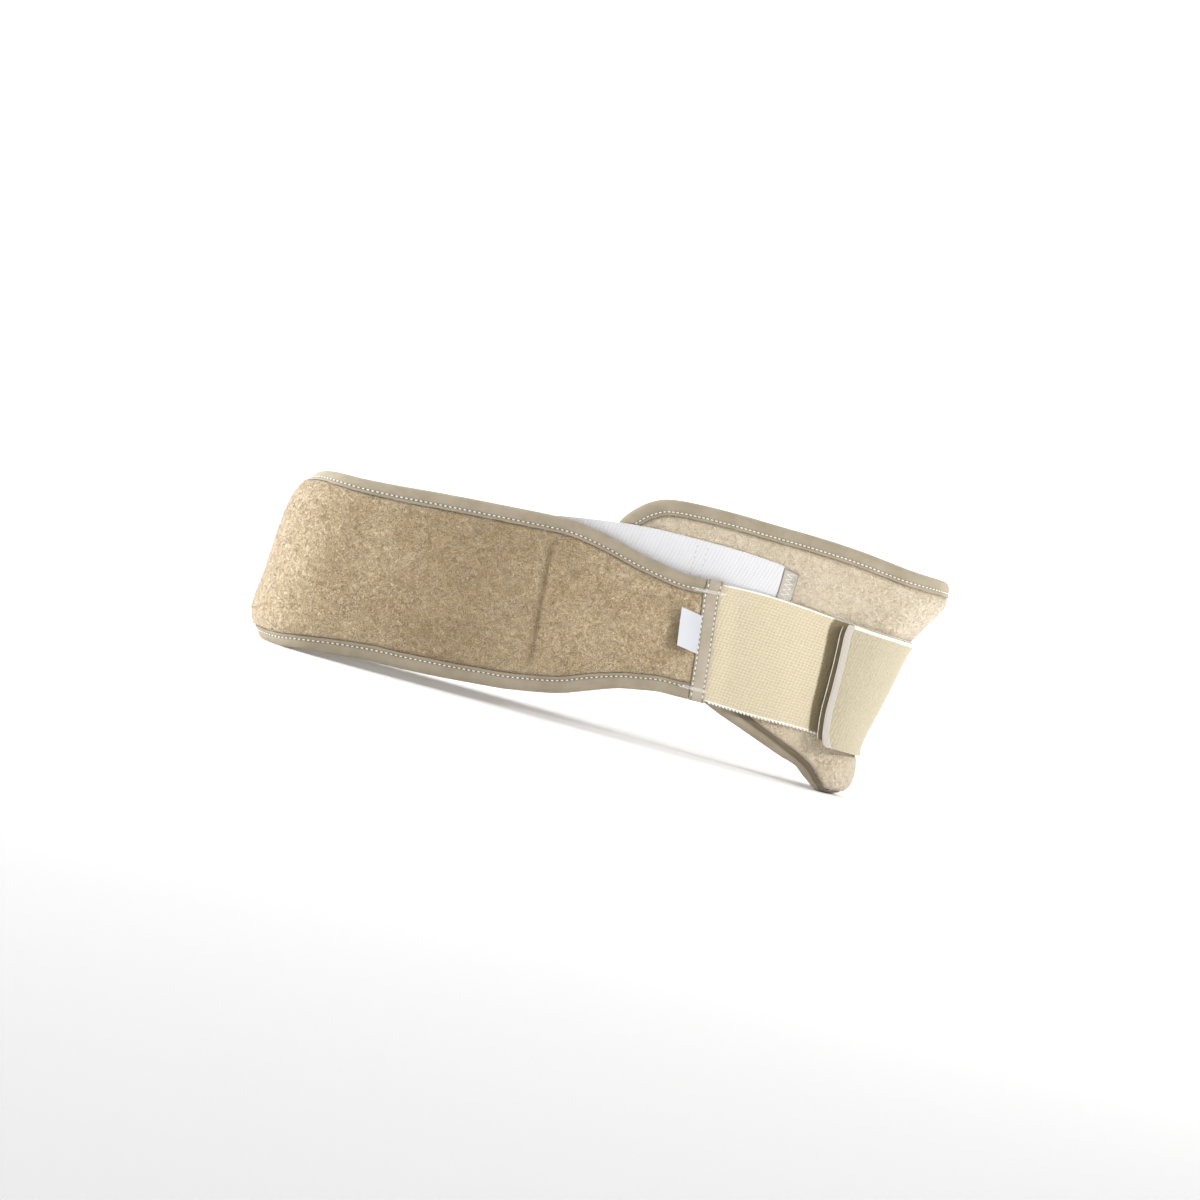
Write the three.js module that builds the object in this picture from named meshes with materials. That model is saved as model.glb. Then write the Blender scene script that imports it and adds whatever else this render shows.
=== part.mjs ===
// A maternity belt, closed in a loop and standing on its lower edges.
// A padded back band and a padded belly panel face each other. Two wide elastic straps run from
// the ends of the back band round the belly panel and lap over each other at its centre. Two narrow
// elastics join the inside of the back band to the outside of the belly panel.
// Millimetres. +X points to the wearer's front, +Y to the wearer's left, +Z up. The origin is the
// centre of the footprint, on the floor.
import * as THREE from "three";

// Whole loop
const halfLength = 259.3;   // centre of the loop to its furthest points at the back and front
const beltHeight = 190;     // height that the level shares below are taken from
const backTurn = 50;        // radius of the loop at the centre back
const frontTurn = 30;       // radius of the loop at the centre front
const backArc = 80;         // belt from the centre back to the start of the side
const sideRun = 397;        // belt along one side
const frontArc = 46;        // belt from the end of the side to the centre front
const sideBow = 5;          // how far the side stands out from a straight line
const loopMiddle = -0.9;    // where the reaches are measured from, so that the footprint is centred
const halfLoop = backArc + sideRun + frontArc;

// Cloth
const padHalf = 3.5;        // half the thickness of the fleece-faced foam
const fleeceProud = 0.6;    // how far the outer fleece of the back band puffs out past its binding
const pinchHalf = 2.0;      // half the thickness of the foam inside a binding
const pinchEnd = 1.3;       // half the thickness of the foam at the very end of the back band
const edgeInset = 1.6;      // bare foam edge to the outside of its binding
const clearance = 0.35;     // gap kept between one piece and the next
const tapeThickness = 1.1;
const tapeWidth = 12.5;     // width of a folded binding, and of the tape across the strap joint
const bindingHalf = pinchHalf + clearance + tapeThickness;
const capFlat = 0.45;       // share of a binding's thickness that is flat across its fold
const turnUnder = 65;       // degrees of roll from which a binding begins to stand on its side
const openFrom = 0.6;       // behind its binding the foam leaves the seam from this distance
const openBy = 3.2;         // and is open by this one
const puffFrom = 2;         // it starts to fill out at this distance
const puffBy = 16;          // and has its full thickness at this one
const strapHalf = 0.8;      // half the thickness of a wide strap
const narrowHalf = 0.6;     // half the thickness of a narrow elastic
const tabHalf = 0.8;
const hookHalf = 0.5;
const labelHalf = 0.4;

// Layers: the distance of each mid-surface from the outer face of the belly panel
const panelLayer = -padHalf;
const narrowLayer = 1.1;
const bandLayer = 5.75;
const underStrapLayer = 1.8;
const overStrapLayer = 4.4;
const strapOverTabLayer = 3.7;

// Shape of the loop at each height. back and front are reaches as shares of halfLength, backRadius
// and frontRadius are shares of backTurn and frontTurn, and level is a share of beltHeight.
const levels = [
  { level: 0.000, back: 0.958, front: 0.870, backRadius: 1.00, frontRadius: 1.00 },
  { level: 0.100, back: 0.958, front: 0.870, backRadius: 1.00, frontRadius: 1.00 },
  { level: 0.158, back: 0.957, front: 0.863, backRadius: 1.00, frontRadius: 1.00 },
  { level: 0.200, back: 0.954, front: 0.849, backRadius: 0.99, frontRadius: 1.00 },
  { level: 0.268, back: 0.949, front: 0.854, backRadius: 0.98, frontRadius: 1.00 },
  { level: 0.386, back: 0.945, front: 0.874, backRadius: 0.96, frontRadius: 1.00 },
  { level: 0.496, back: 0.939, front: 0.890, backRadius: 0.94, frontRadius: 1.00 },
  { level: 0.587, back: 0.930, front: 0.903, backRadius: 0.92, frontRadius: 1.00 },
  { level: 0.642, back: 0.928, front: 0.913, backRadius: 0.92, frontRadius: 1.02 },
  { level: 0.684, back: 0.927, front: 0.928, backRadius: 0.92, frontRadius: 1.03 },
  { level: 0.737, back: 0.926, front: 0.951, backRadius: 0.92, frontRadius: 1.07 },
  { level: 0.800, back: 0.926, front: 0.978, backRadius: 0.92, frontRadius: 1.13 },
  { level: 0.858, back: 0.926, front: 0.997, backRadius: 0.92, frontRadius: 1.17 },
  { level: 1.000, back: 0.926, front: 1.003, backRadius: 0.92, frontRadius: 1.20 },
];

// Back band: edge heights as shares of bandHeight, along as a share of the run from the centre back
// to the strap joint, which leans and so is nearer along the top edge than along the bottom edge.
const bandHeight = 150;
const bandTopRun = 353;
const bandBottomRun = 378.5;
const bandTopEdge = [
  { along: 0.000, level: 0.897 }, { along: 0.060, level: 0.905 }, { along: 0.110, level: 0.917 },
  { along: 0.170, level: 0.921 }, { along: 0.213, level: 0.923 },
  { along: 0.296, level: 0.938 }, { along: 0.379, level: 0.957 }, { along: 0.462, level: 0.973 },
  { along: 0.544, level: 0.987 }, { along: 0.606, level: 0.997 }, { along: 0.658, level: 1.001 },
  { along: 0.691, level: 0.992 }, { along: 0.725, level: 0.979 }, { along: 0.761, level: 0.960 },
  { along: 0.809, level: 0.933 }, { along: 0.857, level: 0.912 }, { along: 0.904, level: 0.895 },
  { along: 0.948, level: 0.893 }, { along: 1.000, level: 0.902 },
];
const bandBottomEdge = [
  { along: 0.000, level: 0.000 }, { along: 0.130, level: 0.000 }, { along: 0.174, level: 0.014 },
  { along: 0.209, level: 0.026 }, { along: 0.269, level: 0.041 }, { along: 0.330, level: 0.051 },
  { along: 0.391, level: 0.056 }, { along: 0.473, level: 0.069 }, { along: 0.553, level: 0.087 },
  { along: 0.594, level: 0.097 }, { along: 0.673, level: 0.131 }, { along: 0.712, level: 0.155 },
  { along: 0.749, level: 0.188 }, { along: 0.786, level: 0.221 }, { along: 0.824, level: 0.250 },
  { along: 0.863, level: 0.269 }, { along: 0.902, level: 0.285 }, { along: 0.943, level: 0.287 },
  { along: 1.000, level: 0.289 },
];
// The edges of the padding roll inward most where it bends round the centre back.
const bandTopCurl = 37;
const bandBottomCurl = 33;
const bandCurl = [
  { along: 0.00, degrees: 55 }, { along: 0.12, degrees: 50 }, { along: 0.20, degrees: 40 },
  { along: 0.28, degrees: 29 }, { along: 0.38, degrees: 19 }, { along: 0.50, degrees: 12 },
  { along: 0.65, degrees: 8 }, { along: 0.85, degrees: 5 }, { along: 1.00, degrees: 1.5 },
];

// Belly panel: one row for each pair of facing points on its upper and lower edges, from its rear
// end to the centre front. Reaches are shares of panelReach, levels are shares of panelHeight.
const panelReach = 261;
const panelHeight = 188;
const panelRows = [
  { topReach: 1.002, top: 0.765, bottomReach: 1.002, bottom: 0.665 },
  { topReach: 0.999, top: 0.839, bottomReach: 0.998, bottom: 0.596 },
  { topReach: 0.976, top: 0.895, bottomReach: 0.973, bottom: 0.537 },
  { topReach: 0.935, top: 0.948, bottomReach: 0.931, bottom: 0.479 },
  { topReach: 0.885, top: 0.981, bottomReach: 0.877, bottom: 0.428 },
  { topReach: 0.801, top: 0.994, bottomReach: 0.793, bottom: 0.372 },
  { topReach: 0.690, top: 0.998, bottomReach: 0.682, bottom: 0.306 },
  { topReach: 0.575, top: 0.996, bottomReach: 0.556, bottom: 0.231 },
  { topReach: 0.460, top: 0.995, bottomReach: 0.429, bottom: 0.162 },
  { topReach: 0.341, top: 0.988, bottomReach: 0.322, bottom: 0.109 },
  { topReach: 0.253, top: 0.976, bottomReach: 0.249, bottom: 0.073 },
  { topReach: 0.192, top: 0.967, bottomReach: 0.199, bottom: 0.027 },
  { topReach: 0.138, top: 0.964, bottomReach: 0.161, bottom: 0.000 },
  { topReach: 0.069, top: 0.963, bottomReach: 0.084, bottom: -0.002 },
  { topReach: 0.000, top: 0.963, bottomReach: 0.000, bottom: -0.002 },
];
const panelTopCurl = 21;
const panelBottomCurl = 13;
const panelCurl = [
  { reach: 0.00, topDegrees: 40, bottomDegrees: 110 },
  { reach: 0.10, topDegrees: 37, bottomDegrees: 110 },
  { reach: 0.15, topDegrees: 32, bottomDegrees: 107 },
  { reach: 0.20, topDegrees: 27, bottomDegrees: 98 },
  { reach: 0.26, topDegrees: 21, bottomDegrees: 82 },
  { reach: 0.32, topDegrees: 16, bottomDegrees: 66 },
  { reach: 0.41, topDegrees: 11, bottomDegrees: 48 },
  { reach: 0.53, topDegrees: 8, bottomDegrees: 30 },
  { reach: 0.72, topDegrees: 6, bottomDegrees: 14 },
  { reach: 1.01, topDegrees: 4, bottomDegrees: 4 },
];

// Wide straps: edge heights in shares of strapTop, along in shares of halfLoop from the centre back,
// past 1 on the other side of the belt.
const strapTop = 134.5;
const strapEnd = 47;        // free end beyond the centre front, at the bottom edge
const strapTuck = 5.4;      // a strap goes this far into the tape at its joint
const strapRise = 30;       // run from its joint in which the left strap comes to its own layer
const strapDrop = 17;       // run from its joint in which the right strap comes down to the tab
const tabRelease = 57;      // past the tab it sinks on, from here
const tabClear = 78;        // to here, onto the panel
const underStrapEdges = [
  { along: 0.670, top: 0.988, bottom: 0.336 }, { along: 0.728, top: 0.997, bottom: 0.333 },
  { along: 0.790, top: 0.989, bottom: 0.325 }, { along: 0.859, top: 0.970, bottom: 0.326 },
  { along: 1.000, top: 0.955, bottom: 0.316 }, { along: 1.140, top: 0.955, bottom: 0.316 },
];
const overStrapEdges = [
  { along: 0.670, top: 0.988, bottom: 0.336 }, { along: 0.728, top: 0.997, bottom: 0.331 },
  { along: 0.859, top: 0.973, bottom: 0.307 }, { along: 1.000, top: 0.945, bottom: 0.257 },
  { along: 1.070, top: 0.950, bottom: 0.262 }, { along: 1.140, top: 0.963, bottom: 0.275 },
];
// The free end leans back toward its upper corner: beyond is in shares of strapEnd, across is a
// share of the strap's width from its bottom edge.
const strapEndLine = [
  { across: 0.000, beyond: 0.99 }, { across: 0.030, beyond: 1.01 }, { across: 0.150, beyond: 1.09 },
  { across: 0.310, beyond: 1.19 }, { across: 0.480, beyond: 1.265 }, { across: 0.650, beyond: 1.335 },
  { across: 0.780, beyond: 1.395 }, { across: 0.910, beyond: 1.455 }, { across: 1.000, beyond: 1.50 },
];
const endLift = 5;          // the free end springs off the strap below by this much
const endLiftRun = 40;
const endTapeWidth = 5;
const endTapeThickness = 0.65;
const hookWidth = 25;
const hookProud = 3.5;      // hook tape shows past the end of the strap by this much

// Narrow elastics
const narrowWidth = 46;
const narrowTop = 161;
const narrowStart = 0.375;  // sewn end inside the back band, as a share of halfLoop
const narrowEnd = 0.737;    // upper corner of the end on the belly panel, as a share of halfLoop
const narrowLean = 15;      // its end leans by this much from the upper to the lower corner
const narrowEdge = [
  { along: 0.375, level: 0.905 }, { along: 0.409, level: 0.925 }, { along: 0.476, level: 0.965 },
  { along: 0.530, level: 0.987 }, { along: 0.558, level: 0.994 }, { along: 0.614, level: 0.999 },
  { along: 0.671, level: 0.999 }, { along: 0.730, level: 0.988 }, { along: 0.770, level: 0.970 },
];
const tabWidth = 12;

// Size label
const labelLength = 16.5;
const labelWidth = 28.5;
const labelHeight = 92;     // height of its middle above the floor
const labelLift = 5;
const labelLap = 1;         // its sewn end lies this far over the joint tape

const radians = Math.PI / 180;

// Smooth value of one column of a table between its rows.
function tableValue(rows, key, column, x) {
  const last = rows.length - 1;
  if (x <= rows[0][key]) return rows[0][column];
  if (x >= rows[last][key]) return rows[last][column];
  let i = 0;
  while (rows[i + 1][key] < x) i += 1;
  const slope = (k) => {
    const a = rows[Math.max(k - 1, 0)];
    const b = rows[Math.min(k + 1, last)];
    return (b[column] - a[column]) / (b[key] - a[key]);
  };
  const step = rows[i + 1][key] - rows[i][key];
  const t = (x - rows[i][key]) / step;
  const t2 = t * t;
  const t3 = t2 * t;
  return (2 * t3 - 3 * t2 + 1) * rows[i][column]
    + (t3 - 2 * t2 + t) * step * slope(i)
    + (3 * t2 - 2 * t3) * rows[i + 1][column]
    + (t3 - t2) * step * slope(i + 1);
}

function mix(a, b, t) {
  return a + (b - a) * t;
}

function ramp(from, to, x) {
  const t = Math.min(Math.max((x - from) / (to - from), 0), 1);
  return t * t * (3 - 2 * t);
}

// A point of the loop: along from the centre back in millimetres, at a height, standing out by
// layer. side is -1 for the wearer's right and 1 for the left. Past the centre back or the centre
// front the point lies on the other side.
function loopPoint(side, along, height, layer) {
  let s = along;
  let y = side;
  if (s < 0) {
    s = -s;
    y = -y;
  }
  if (s > halfLoop) {
    s = 2 * halfLoop - s;
    y = -y;
  }
  const level = height / beltHeight;
  const rb = backTurn * tableValue(levels, "level", "backRadius", level);
  const rf = frontTurn * tableValue(levels, "level", "frontRadius", level);
  const xb = rb - halfLength * tableValue(levels, "level", "back", level);
  const xf = halfLength * tableValue(levels, "level", "front", level) - rf;
  const slant = Math.asin((rb - rf) / (xf - xb));
  if (s < backArc) {
    const a = s / backArc * (Math.PI / 2 + slant);
    return new THREE.Vector3(
      loopMiddle + xb - (rb + layer) * Math.cos(a), y * (rb + layer) * Math.sin(a), height);
  }
  if (s > backArc + sideRun) {
    const a = (halfLoop - s) / frontArc * (Math.PI / 2 - slant);
    return new THREE.Vector3(
      loopMiddle + xf + (rf + layer) * Math.cos(a), y * (rf + layer) * Math.sin(a), height);
  }
  const q = (s - backArc) / sideRun;
  const out = mix(rb, rf, q) + layer + sideBow * Math.sin(Math.PI * q) ** 2;
  return new THREE.Vector3(
    loopMiddle + mix(xb, xf, q) + out * Math.sin(slant), y * out * Math.cos(slant), height);
}

// A sheet whose edges may curl inward. edges(along) gives the heights where the curls start and the
// curl radii. flat is the height on the sheet laid flat, out the distance from its mid-surface.
function curledPoint(side, along, flat, out, layer, edges) {
  const e = edges(along);
  if (flat > e.topStart) {
    const a = (flat - e.topStart) / e.topRadius;
    return loopPoint(side, along, e.topStart + (e.topRadius + out) * Math.sin(a),
      layer - e.topRadius + (e.topRadius + out) * Math.cos(a));
  }
  if (flat < e.bottomStart) {
    const a = (e.bottomStart - flat) / e.bottomRadius;
    return loopPoint(side, along, e.bottomStart - (e.bottomRadius + out) * Math.sin(a),
      layer - e.bottomRadius + (e.bottomRadius + out) * Math.cos(a));
  }
  return loopPoint(side, along, flat, layer + out);
}

function curlOf(top, bottom, topRadius, bottomRadius, topDegrees, bottomDegrees) {
  const ta = topDegrees * radians;
  const ba = bottomDegrees * radians;
  const topStart = top - (topRadius + capFlat * bindingHalf) * Math.sin(ta);
  const under = mix(capFlat, 1, ramp(turnUnder, 90, bottomDegrees)) * bindingHalf;
  const bottomStart = bottom + (bottomRadius + under) * Math.sin(Math.min(ba, Math.PI / 2));
  return {
    topStart,
    bottomStart,
    topRadius,
    bottomRadius,
    flatTop: topStart + topRadius * ta,
    flatBottom: bottomStart - bottomRadius * ba,
  };
}

// Half thickness of the foam at a distance from the outside of its binding.
function padThickness(distance, full) {
  const open = ramp(tapeWidth + openFrom, tapeWidth + openBy, distance);
  const puff = ramp(tapeWidth + puffFrom, tapeWidth + puffBy, distance);
  return mix(mix(pinchHalf - 0.1, padHalf - 0.35, open), full, puff) * ramp(-0.6, 2.6, distance);
}

// A closed solid through stations of two facing rows of points, outer and inner. A ring joins its
// last station to its first; otherwise both ends are capped.
function railSolid(stations, ring) {
  const m = stations[0].outer.length;
  const positions = [];
  const faces = [];
  for (const station of stations) {
    for (const p of station.outer) positions.push(p.x, p.y, p.z);
    for (let i = m - 1; i >= 0; i -= 1) {
      const p = station.inner[i];
      positions.push(p.x, p.y, p.z);
    }
  }
  const n = 2 * m;
  const count = stations.length;
  const span = (a, b) => Math.hypot(...[0, 1, 2].map((i) => positions[3 * a + i] - positions[3 * b + i]));
  const quad = (a, b, c, d) => {
    if (span(a, c) <= span(b, d)) faces.push(a, b, c, a, c, d);
    else faces.push(a, b, d, b, c, d);
  };
  for (let k = 0; k < (ring ? count : count - 1); k += 1) {
    const here = k * n;
    const next = ((k + 1) % count) * n;
    for (let i = 0; i < n; i += 1) {
      const j = (i + 1) % n;
      quad(here + i, next + i, next + j, here + j);
    }
  }
  if (!ring) {
    const end = (count - 1) * n;
    for (let i = 0; i < m - 1; i += 1) {
      quad(i, i + 1, n - 2 - i, n - 1 - i);
      quad(end + i, end + n - 1 - i, end + n - 2 - i, end + i + 1);
    }
  }
  const geometry = new THREE.BufferGeometry();
  geometry.setAttribute("position", new THREE.Float32BufferAttribute(positions, 3));
  geometry.setIndex(faces);
  if (signedVolume(geometry) < 0) {
    for (let i = 0; i < faces.length; i += 3) {
      const swap = faces[i];
      faces[i] = faces[i + 1];
      faces[i + 1] = swap;
    }
    geometry.setIndex(faces);
  }
  geometry.computeVertexNormals();
  return geometry;
}

function signedVolume(geometry) {
  const position = geometry.getAttribute("position");
  const index = geometry.getIndex();
  const a = new THREE.Vector3();
  const b = new THREE.Vector3();
  const c = new THREE.Vector3();
  let volume = 0;
  for (let i = 0; i < index.count; i += 3) {
    a.fromBufferAttribute(position, index.getX(i));
    b.fromBufferAttribute(position, index.getX(i + 1));
    c.fromBufferAttribute(position, index.getX(i + 2));
    volume += a.dot(b.cross(c)) / 6;
  }
  return volume;
}

const belt = new THREE.Group();
const fleece = { color: 0xb9a482, roughness: 0.95, metalness: 0 };
const tape = { color: 0x9c9486, roughness: 0.8, metalness: 0 };
const cream = { color: 0xe4d8b8, roughness: 0.85, metalness: 0 };
const white = { color: 0xeff0f4, roughness: 0.8, metalness: 0 };
const paleGrey = { color: 0xcfd0d4, roughness: 0.75, metalness: 0 };

function addPiece(name, geometry, look) {
  const mesh = new THREE.Mesh(geometry, new THREE.MeshStandardMaterial(look));
  mesh.name = name;
  belt.add(mesh);
}

// Keeps what presses on the floor flat, with least the room for the cloth below it.
function onFloor(p, least) {
  if (p.z < least) p.z = least;
  return p;
}
const underTape = tapeThickness + clearance;

// Section of a folded binding: depth from the outside of the fold, out from the middle of the pad.
function bindingSection(half, thickness) {
  const inner = half - thickness;
  return {
    outer: [
      { depth: tapeWidth, out: half }, { depth: 2.0, out: half }, { depth: 0, out: capFlat * half },
      { depth: 0, out: -capFlat * half }, { depth: 2.0, out: -half },
      { depth: tapeWidth, out: -half },
    ],
    inner: [
      { depth: tapeWidth, out: inner }, { depth: 2.2, out: inner },
      { depth: thickness + 0.05, out: 0.8 * inner }, { depth: thickness + 0.05, out: -0.8 * inner },
      { depth: 2.2, out: -inner }, { depth: tapeWidth, out: -inner },
    ],
  };
}

// Back band
const bandHalfRun = (bandTopRun + bandBottomRun) / 2;

function bandEdges(along) {
  const share = Math.abs(along) / bandHalfRun;
  const degrees = tableValue(bandCurl, "along", "degrees", share);
  const shareTop = Math.abs(along) / bandTopRun;
  const shareBottom = Math.abs(along) / bandBottomRun;
  return curlOf(
    bandHeight * tableValue(bandTopEdge, "along", "level", shareTop),
    bandHeight * tableValue(bandBottomEdge, "along", "level", shareBottom) - 0.5,
    bandTopCurl, bandBottomCurl, degrees, degrees);
}

// Facing points on the two edges of the band, back from the strap joint by a distance.
function bandStation(share, back) {
  const sign = Math.sign(share) || 1;
  const top = share * bandTopRun - sign * back;
  const bottom = share * bandBottomRun - sign * back;
  return {
    top: { along: top, flat: bandEdges(top).flatTop },
    bottom: { along: bottom, flat: bandEdges(bottom).flatBottom },
  };
}

function between(station, depthFromBottom) {
  const dx = station.top.along - station.bottom.along;
  const dz = station.top.flat - station.bottom.flat;
  const length = Math.hypot(dx, dz);
  const t = depthFromBottom / length;
  return { along: station.bottom.along + dx * t, flat: station.bottom.flat + dz * t, length };
}

function bandPoint(p, out) {
  return curledPoint(-1, p.along, p.flat, out, bandLayer, bandEdges);
}

// Shares of the run where the band is measured: close together round the back and at the taper.
const backShares = [0, 0.03, 0.06, 0.09, 0.12, 0.15, 0.18, 0.21, 0.25, 0.32, 0.4, 0.48, 0.56, 0.62, 0.67,
  0.71, 0.75, 0.79, 0.83, 0.88, 0.94];
const endSteps = [16.5, 12.9, 12.0];

function bandStations(steps) {
  const list = [];
  for (const share of backShares.slice(1).reverse()) list.push(bandStation(-share, 0));
  for (const share of backShares) list.push(bandStation(share, 0));
  for (const back of steps) {
    list.push(bandStation(1, back));
    list.unshift(bandStation(-1, back));
  }
  return list;
}

const bandDepths = [edgeInset, 12.9, 15.0, 24];

function bandSolid() {
  const joint = [...endSteps, 6.2];
  const stations = [];
  for (const station of bandStations(joint)) {
    const length = between(station, 0).length;
    const depths = [...bandDepths, length * 0.42, length * 0.58,
      ...bandDepths.map((d) => length - d).reverse()];
    const outer = [];
    const inner = [];
    for (const depth of depths) {
      const p = between(station, depth);
      const fromJoint = Math.min(
        ...[1, -1].map((sign) => {
          const reach = mix(bandBottomRun, bandTopRun, depth / length);
          return reach - sign * p.along;
        }));
      const distance = Math.min(depth, length - depth, fromJoint);
      const close = fromJoint < 8 ? pinchEnd / pinchHalf : 1;
      const out = padThickness(distance, padHalf + fleeceProud) * close;
      outer.push(onFloor(bandPoint(p, out), underTape));
      inner.push(onFloor(bandPoint(p, -padThickness(distance, padHalf) * close), underTape));
    }
    stations.push({ outer, inner });
  }
  return railSolid(stations, false);
}
addPiece("back_band", bandSolid(), fleece);

function bandBinding(atTop) {
  const section = bindingSection(bindingHalf, tapeThickness);
  const stations = [];
  for (const station of bandStations([16.5, tapeWidth + 0.6])) {
    const length = between(station, 0).length;
    const place = (q) => bandPoint(between(station, atTop ? length - q.depth : q.depth), q.out);
    stations.push({
      outer: section.outer.map((q) => onFloor(place(q), 0)),
      inner: section.inner.map((q) => onFloor(place(q), tapeThickness)),
    });
  }
  return railSolid(stations, false);
}
addPiece("back_band_top_binding", bandBinding(true), tape);
addPiece("back_band_bottom_binding", bandBinding(false), tape);

// Tape sewn round each joint of back band and strap
function jointTape(side) {
  const narrow = strapHalf + clearance + 0.15;
  const wide = pinchHalf + clearance;
  const path = [];
  const heights = [0.1, 0.3, 0.5, 0.7, 0.9];
  const loop = [
    { edge: 0, out: 0.45 }, { edge: 2, out: 1 }, ...heights.map((v) => ({ v, out: 1 })),
    { edge: -2, out: 1 }, { edge: -0.001, out: 0.45 }, { edge: -0.001, out: -0.45 },
    { edge: -2, out: -1 }, ...heights.map((v) => ({ v, out: -1 })).reverse(),
    { edge: 2, out: -1 }, { edge: 0, out: -0.45 },
  ];
  const rightward = [tapeWidth, 8.5, 4.5, 0];
  for (const q of loop) {
    const outer = [];
    const inner = [];
    for (const back of rightward) {
      const station = bandStation(1, back);
      const length = between(station, 0).length;
      const half = mix(narrow, wide, back / tapeWidth);
      let depth = q.edge;
      let innerDepth = q.edge;
      if (q.v !== undefined) {
        depth = q.v * length;
        innerDepth = depth;
      } else if (q.edge < 0) {
        depth = length + q.edge;
        innerDepth = length - Math.max(tapeThickness + 0.05, -q.edge + 0.2);
      } else {
        innerDepth = Math.max(tapeThickness + 0.05, q.edge + 0.2);
      }
      const innerOut = Math.abs(q.out) < 1 ? Math.sign(q.out) * 0.8 * half : q.out * half;
      const outerOut = q.out * (half + tapeThickness);
      const put = (d, out) => {
        const p = between(station, d);
        return curledPoint(side, p.along, p.flat, out, bandLayer, bandEdges);
      };
      outer.push(put(depth, outerOut));
      inner.push(put(innerDepth, innerOut));
    }
    path.push({ outer, inner });
  }
  return railSolid(path, true);
}
addPiece("joint_tape_right", jointTape(-1), tape);
addPiece("joint_tape_left", jointTape(1), tape);

// Belly panel
function panelEdges(along) {
  const reach = Math.abs(halfLoop - along) / panelReach;
  const top = edgeLevel(reach, "top");
  const bottom = edgeLevel(reach, "bottom");
  return curlOf(panelHeight * top, panelHeight * bottom, panelTopCurl, panelBottomCurl,
    tableValue(panelCurl, "reach", "topDegrees", reach),
    tableValue(panelCurl, "reach", "bottomDegrees", reach));
}

// Height of the panel's upper or lower edge at a reach from the centre front.
function edgeLevel(reach, edge) {
  const rows = panelRows.map((row) => ({ reach: row[edge + "Reach"], level: row[edge] })).reverse();
  return tableValue(rows, "reach", "level", reach);
}

// Outline of one half of the panel laid flat, at a row number that may lie between two rows.
function panelOutline(row, edge) {
  const numbered = panelRows.map((r, i) => ({ i, reach: r[edge + "Reach"], level: r[edge] }));
  const reach = tableValue(numbered, "i", "reach", row);
  const level = tableValue(numbered, "i", "level", row);
  const along = halfLoop - reach * panelReach;
  const e = panelEdges(along);
  const flat = panelHeight * level;
  if (edge === "top") {
    return { along, flat: flat + e.flatTop - panelHeight * edgeLevel(reach, "top") };
  }
  return { along, flat: flat + e.flatBottom - panelHeight * edgeLevel(reach, "bottom") };
}

const rowSteps = [0, 1, 1.5, 2, 2.5, 3, 3.5, 4, 5, 6, 7, 8, 9, 10, 10.5, 11, 11.5, 12, 12.67, 13.33, 14];

// The whole outline of the panel, once round, with the inward direction at each point.
function panelRing() {
  const points = [];
  const mirror = (p) => ({ along: 2 * halfLoop - p.along, flat: p.flat });
  for (const row of rowSteps) points.push(panelOutline(row, "top"));
  for (const row of rowSteps.slice(0, -1).reverse()) points.push(mirror(panelOutline(row, "top")));
  for (const row of rowSteps) points.push(mirror(panelOutline(row, "bottom")));
  for (const row of rowSteps.slice(0, -1).reverse()) points.push(panelOutline(row, "bottom"));
  const count = points.length;
  return points.map((p, i) => {
    const a = points[(i + count - 1) % count];
    const b = points[(i + 1) % count];
    const length = Math.hypot(b.along - a.along, b.flat - a.flat);
    return { ...p, inX: (b.flat - a.flat) / length, inZ: -(b.along - a.along) / length };
  });
}
const panelLoop = panelRing();

function distanceToEdge(along, flat) {
  let best = Infinity;
  for (let i = 0; i < panelLoop.length; i += 1) {
    const a = panelLoop[i];
    const b = panelLoop[(i + 1) % panelLoop.length];
    const dx = b.along - a.along;
    const dz = b.flat - a.flat;
    const t = ((along - a.along) * dx + (flat - a.flat) * dz) / (dx * dx + dz * dz);
    const u = Math.min(Math.max(t, 0), 1);
    best = Math.min(best, Math.hypot(along - a.along - u * dx, flat - a.flat - u * dz));
  }
  return best;
}

function panelPoint(along, flat, out) {
  return curledPoint(-1, along, flat, out, panelLayer, panelEdges);
}

// Distances from the edge at which the panel's thickness and curl are followed, and shares of the
// rest of its height.
const lowDistances = [12.7, 15.2, 21, 31, 41, 48];
const highDistances = [12.7, 15.2, 24];
const middleShares = [0.12, 0.3, 0.48, 0.64, 0.78, 0.9];

// Steps along a line from the edge inward to where it is at each distance from the outline.
function stepsInward(from, to, distances) {
  const length = Math.hypot(to.x - from.x, to.z - from.z);
  const at = (d) => distanceToEdge(mix(from.x, to.x, d / length), mix(from.z, to.z, d / length));
  const steps = [0];
  for (const distance of distances) {
    let low = steps[steps.length - 1];
    let high = 0.45 * length;
    if (at(high) <= distance || high - low < 1) {
      steps.push(mix(low, high, 0.4));
      continue;
    }
    for (let i = 0; i < 24; i += 1) {
      const middle = (low + high) / 2;
      if (at(middle) < distance) low = middle;
      else high = middle;
    }
    steps.push(Math.max(low, steps[steps.length - 1] + 0.3));
  }
  return steps;
}

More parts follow.
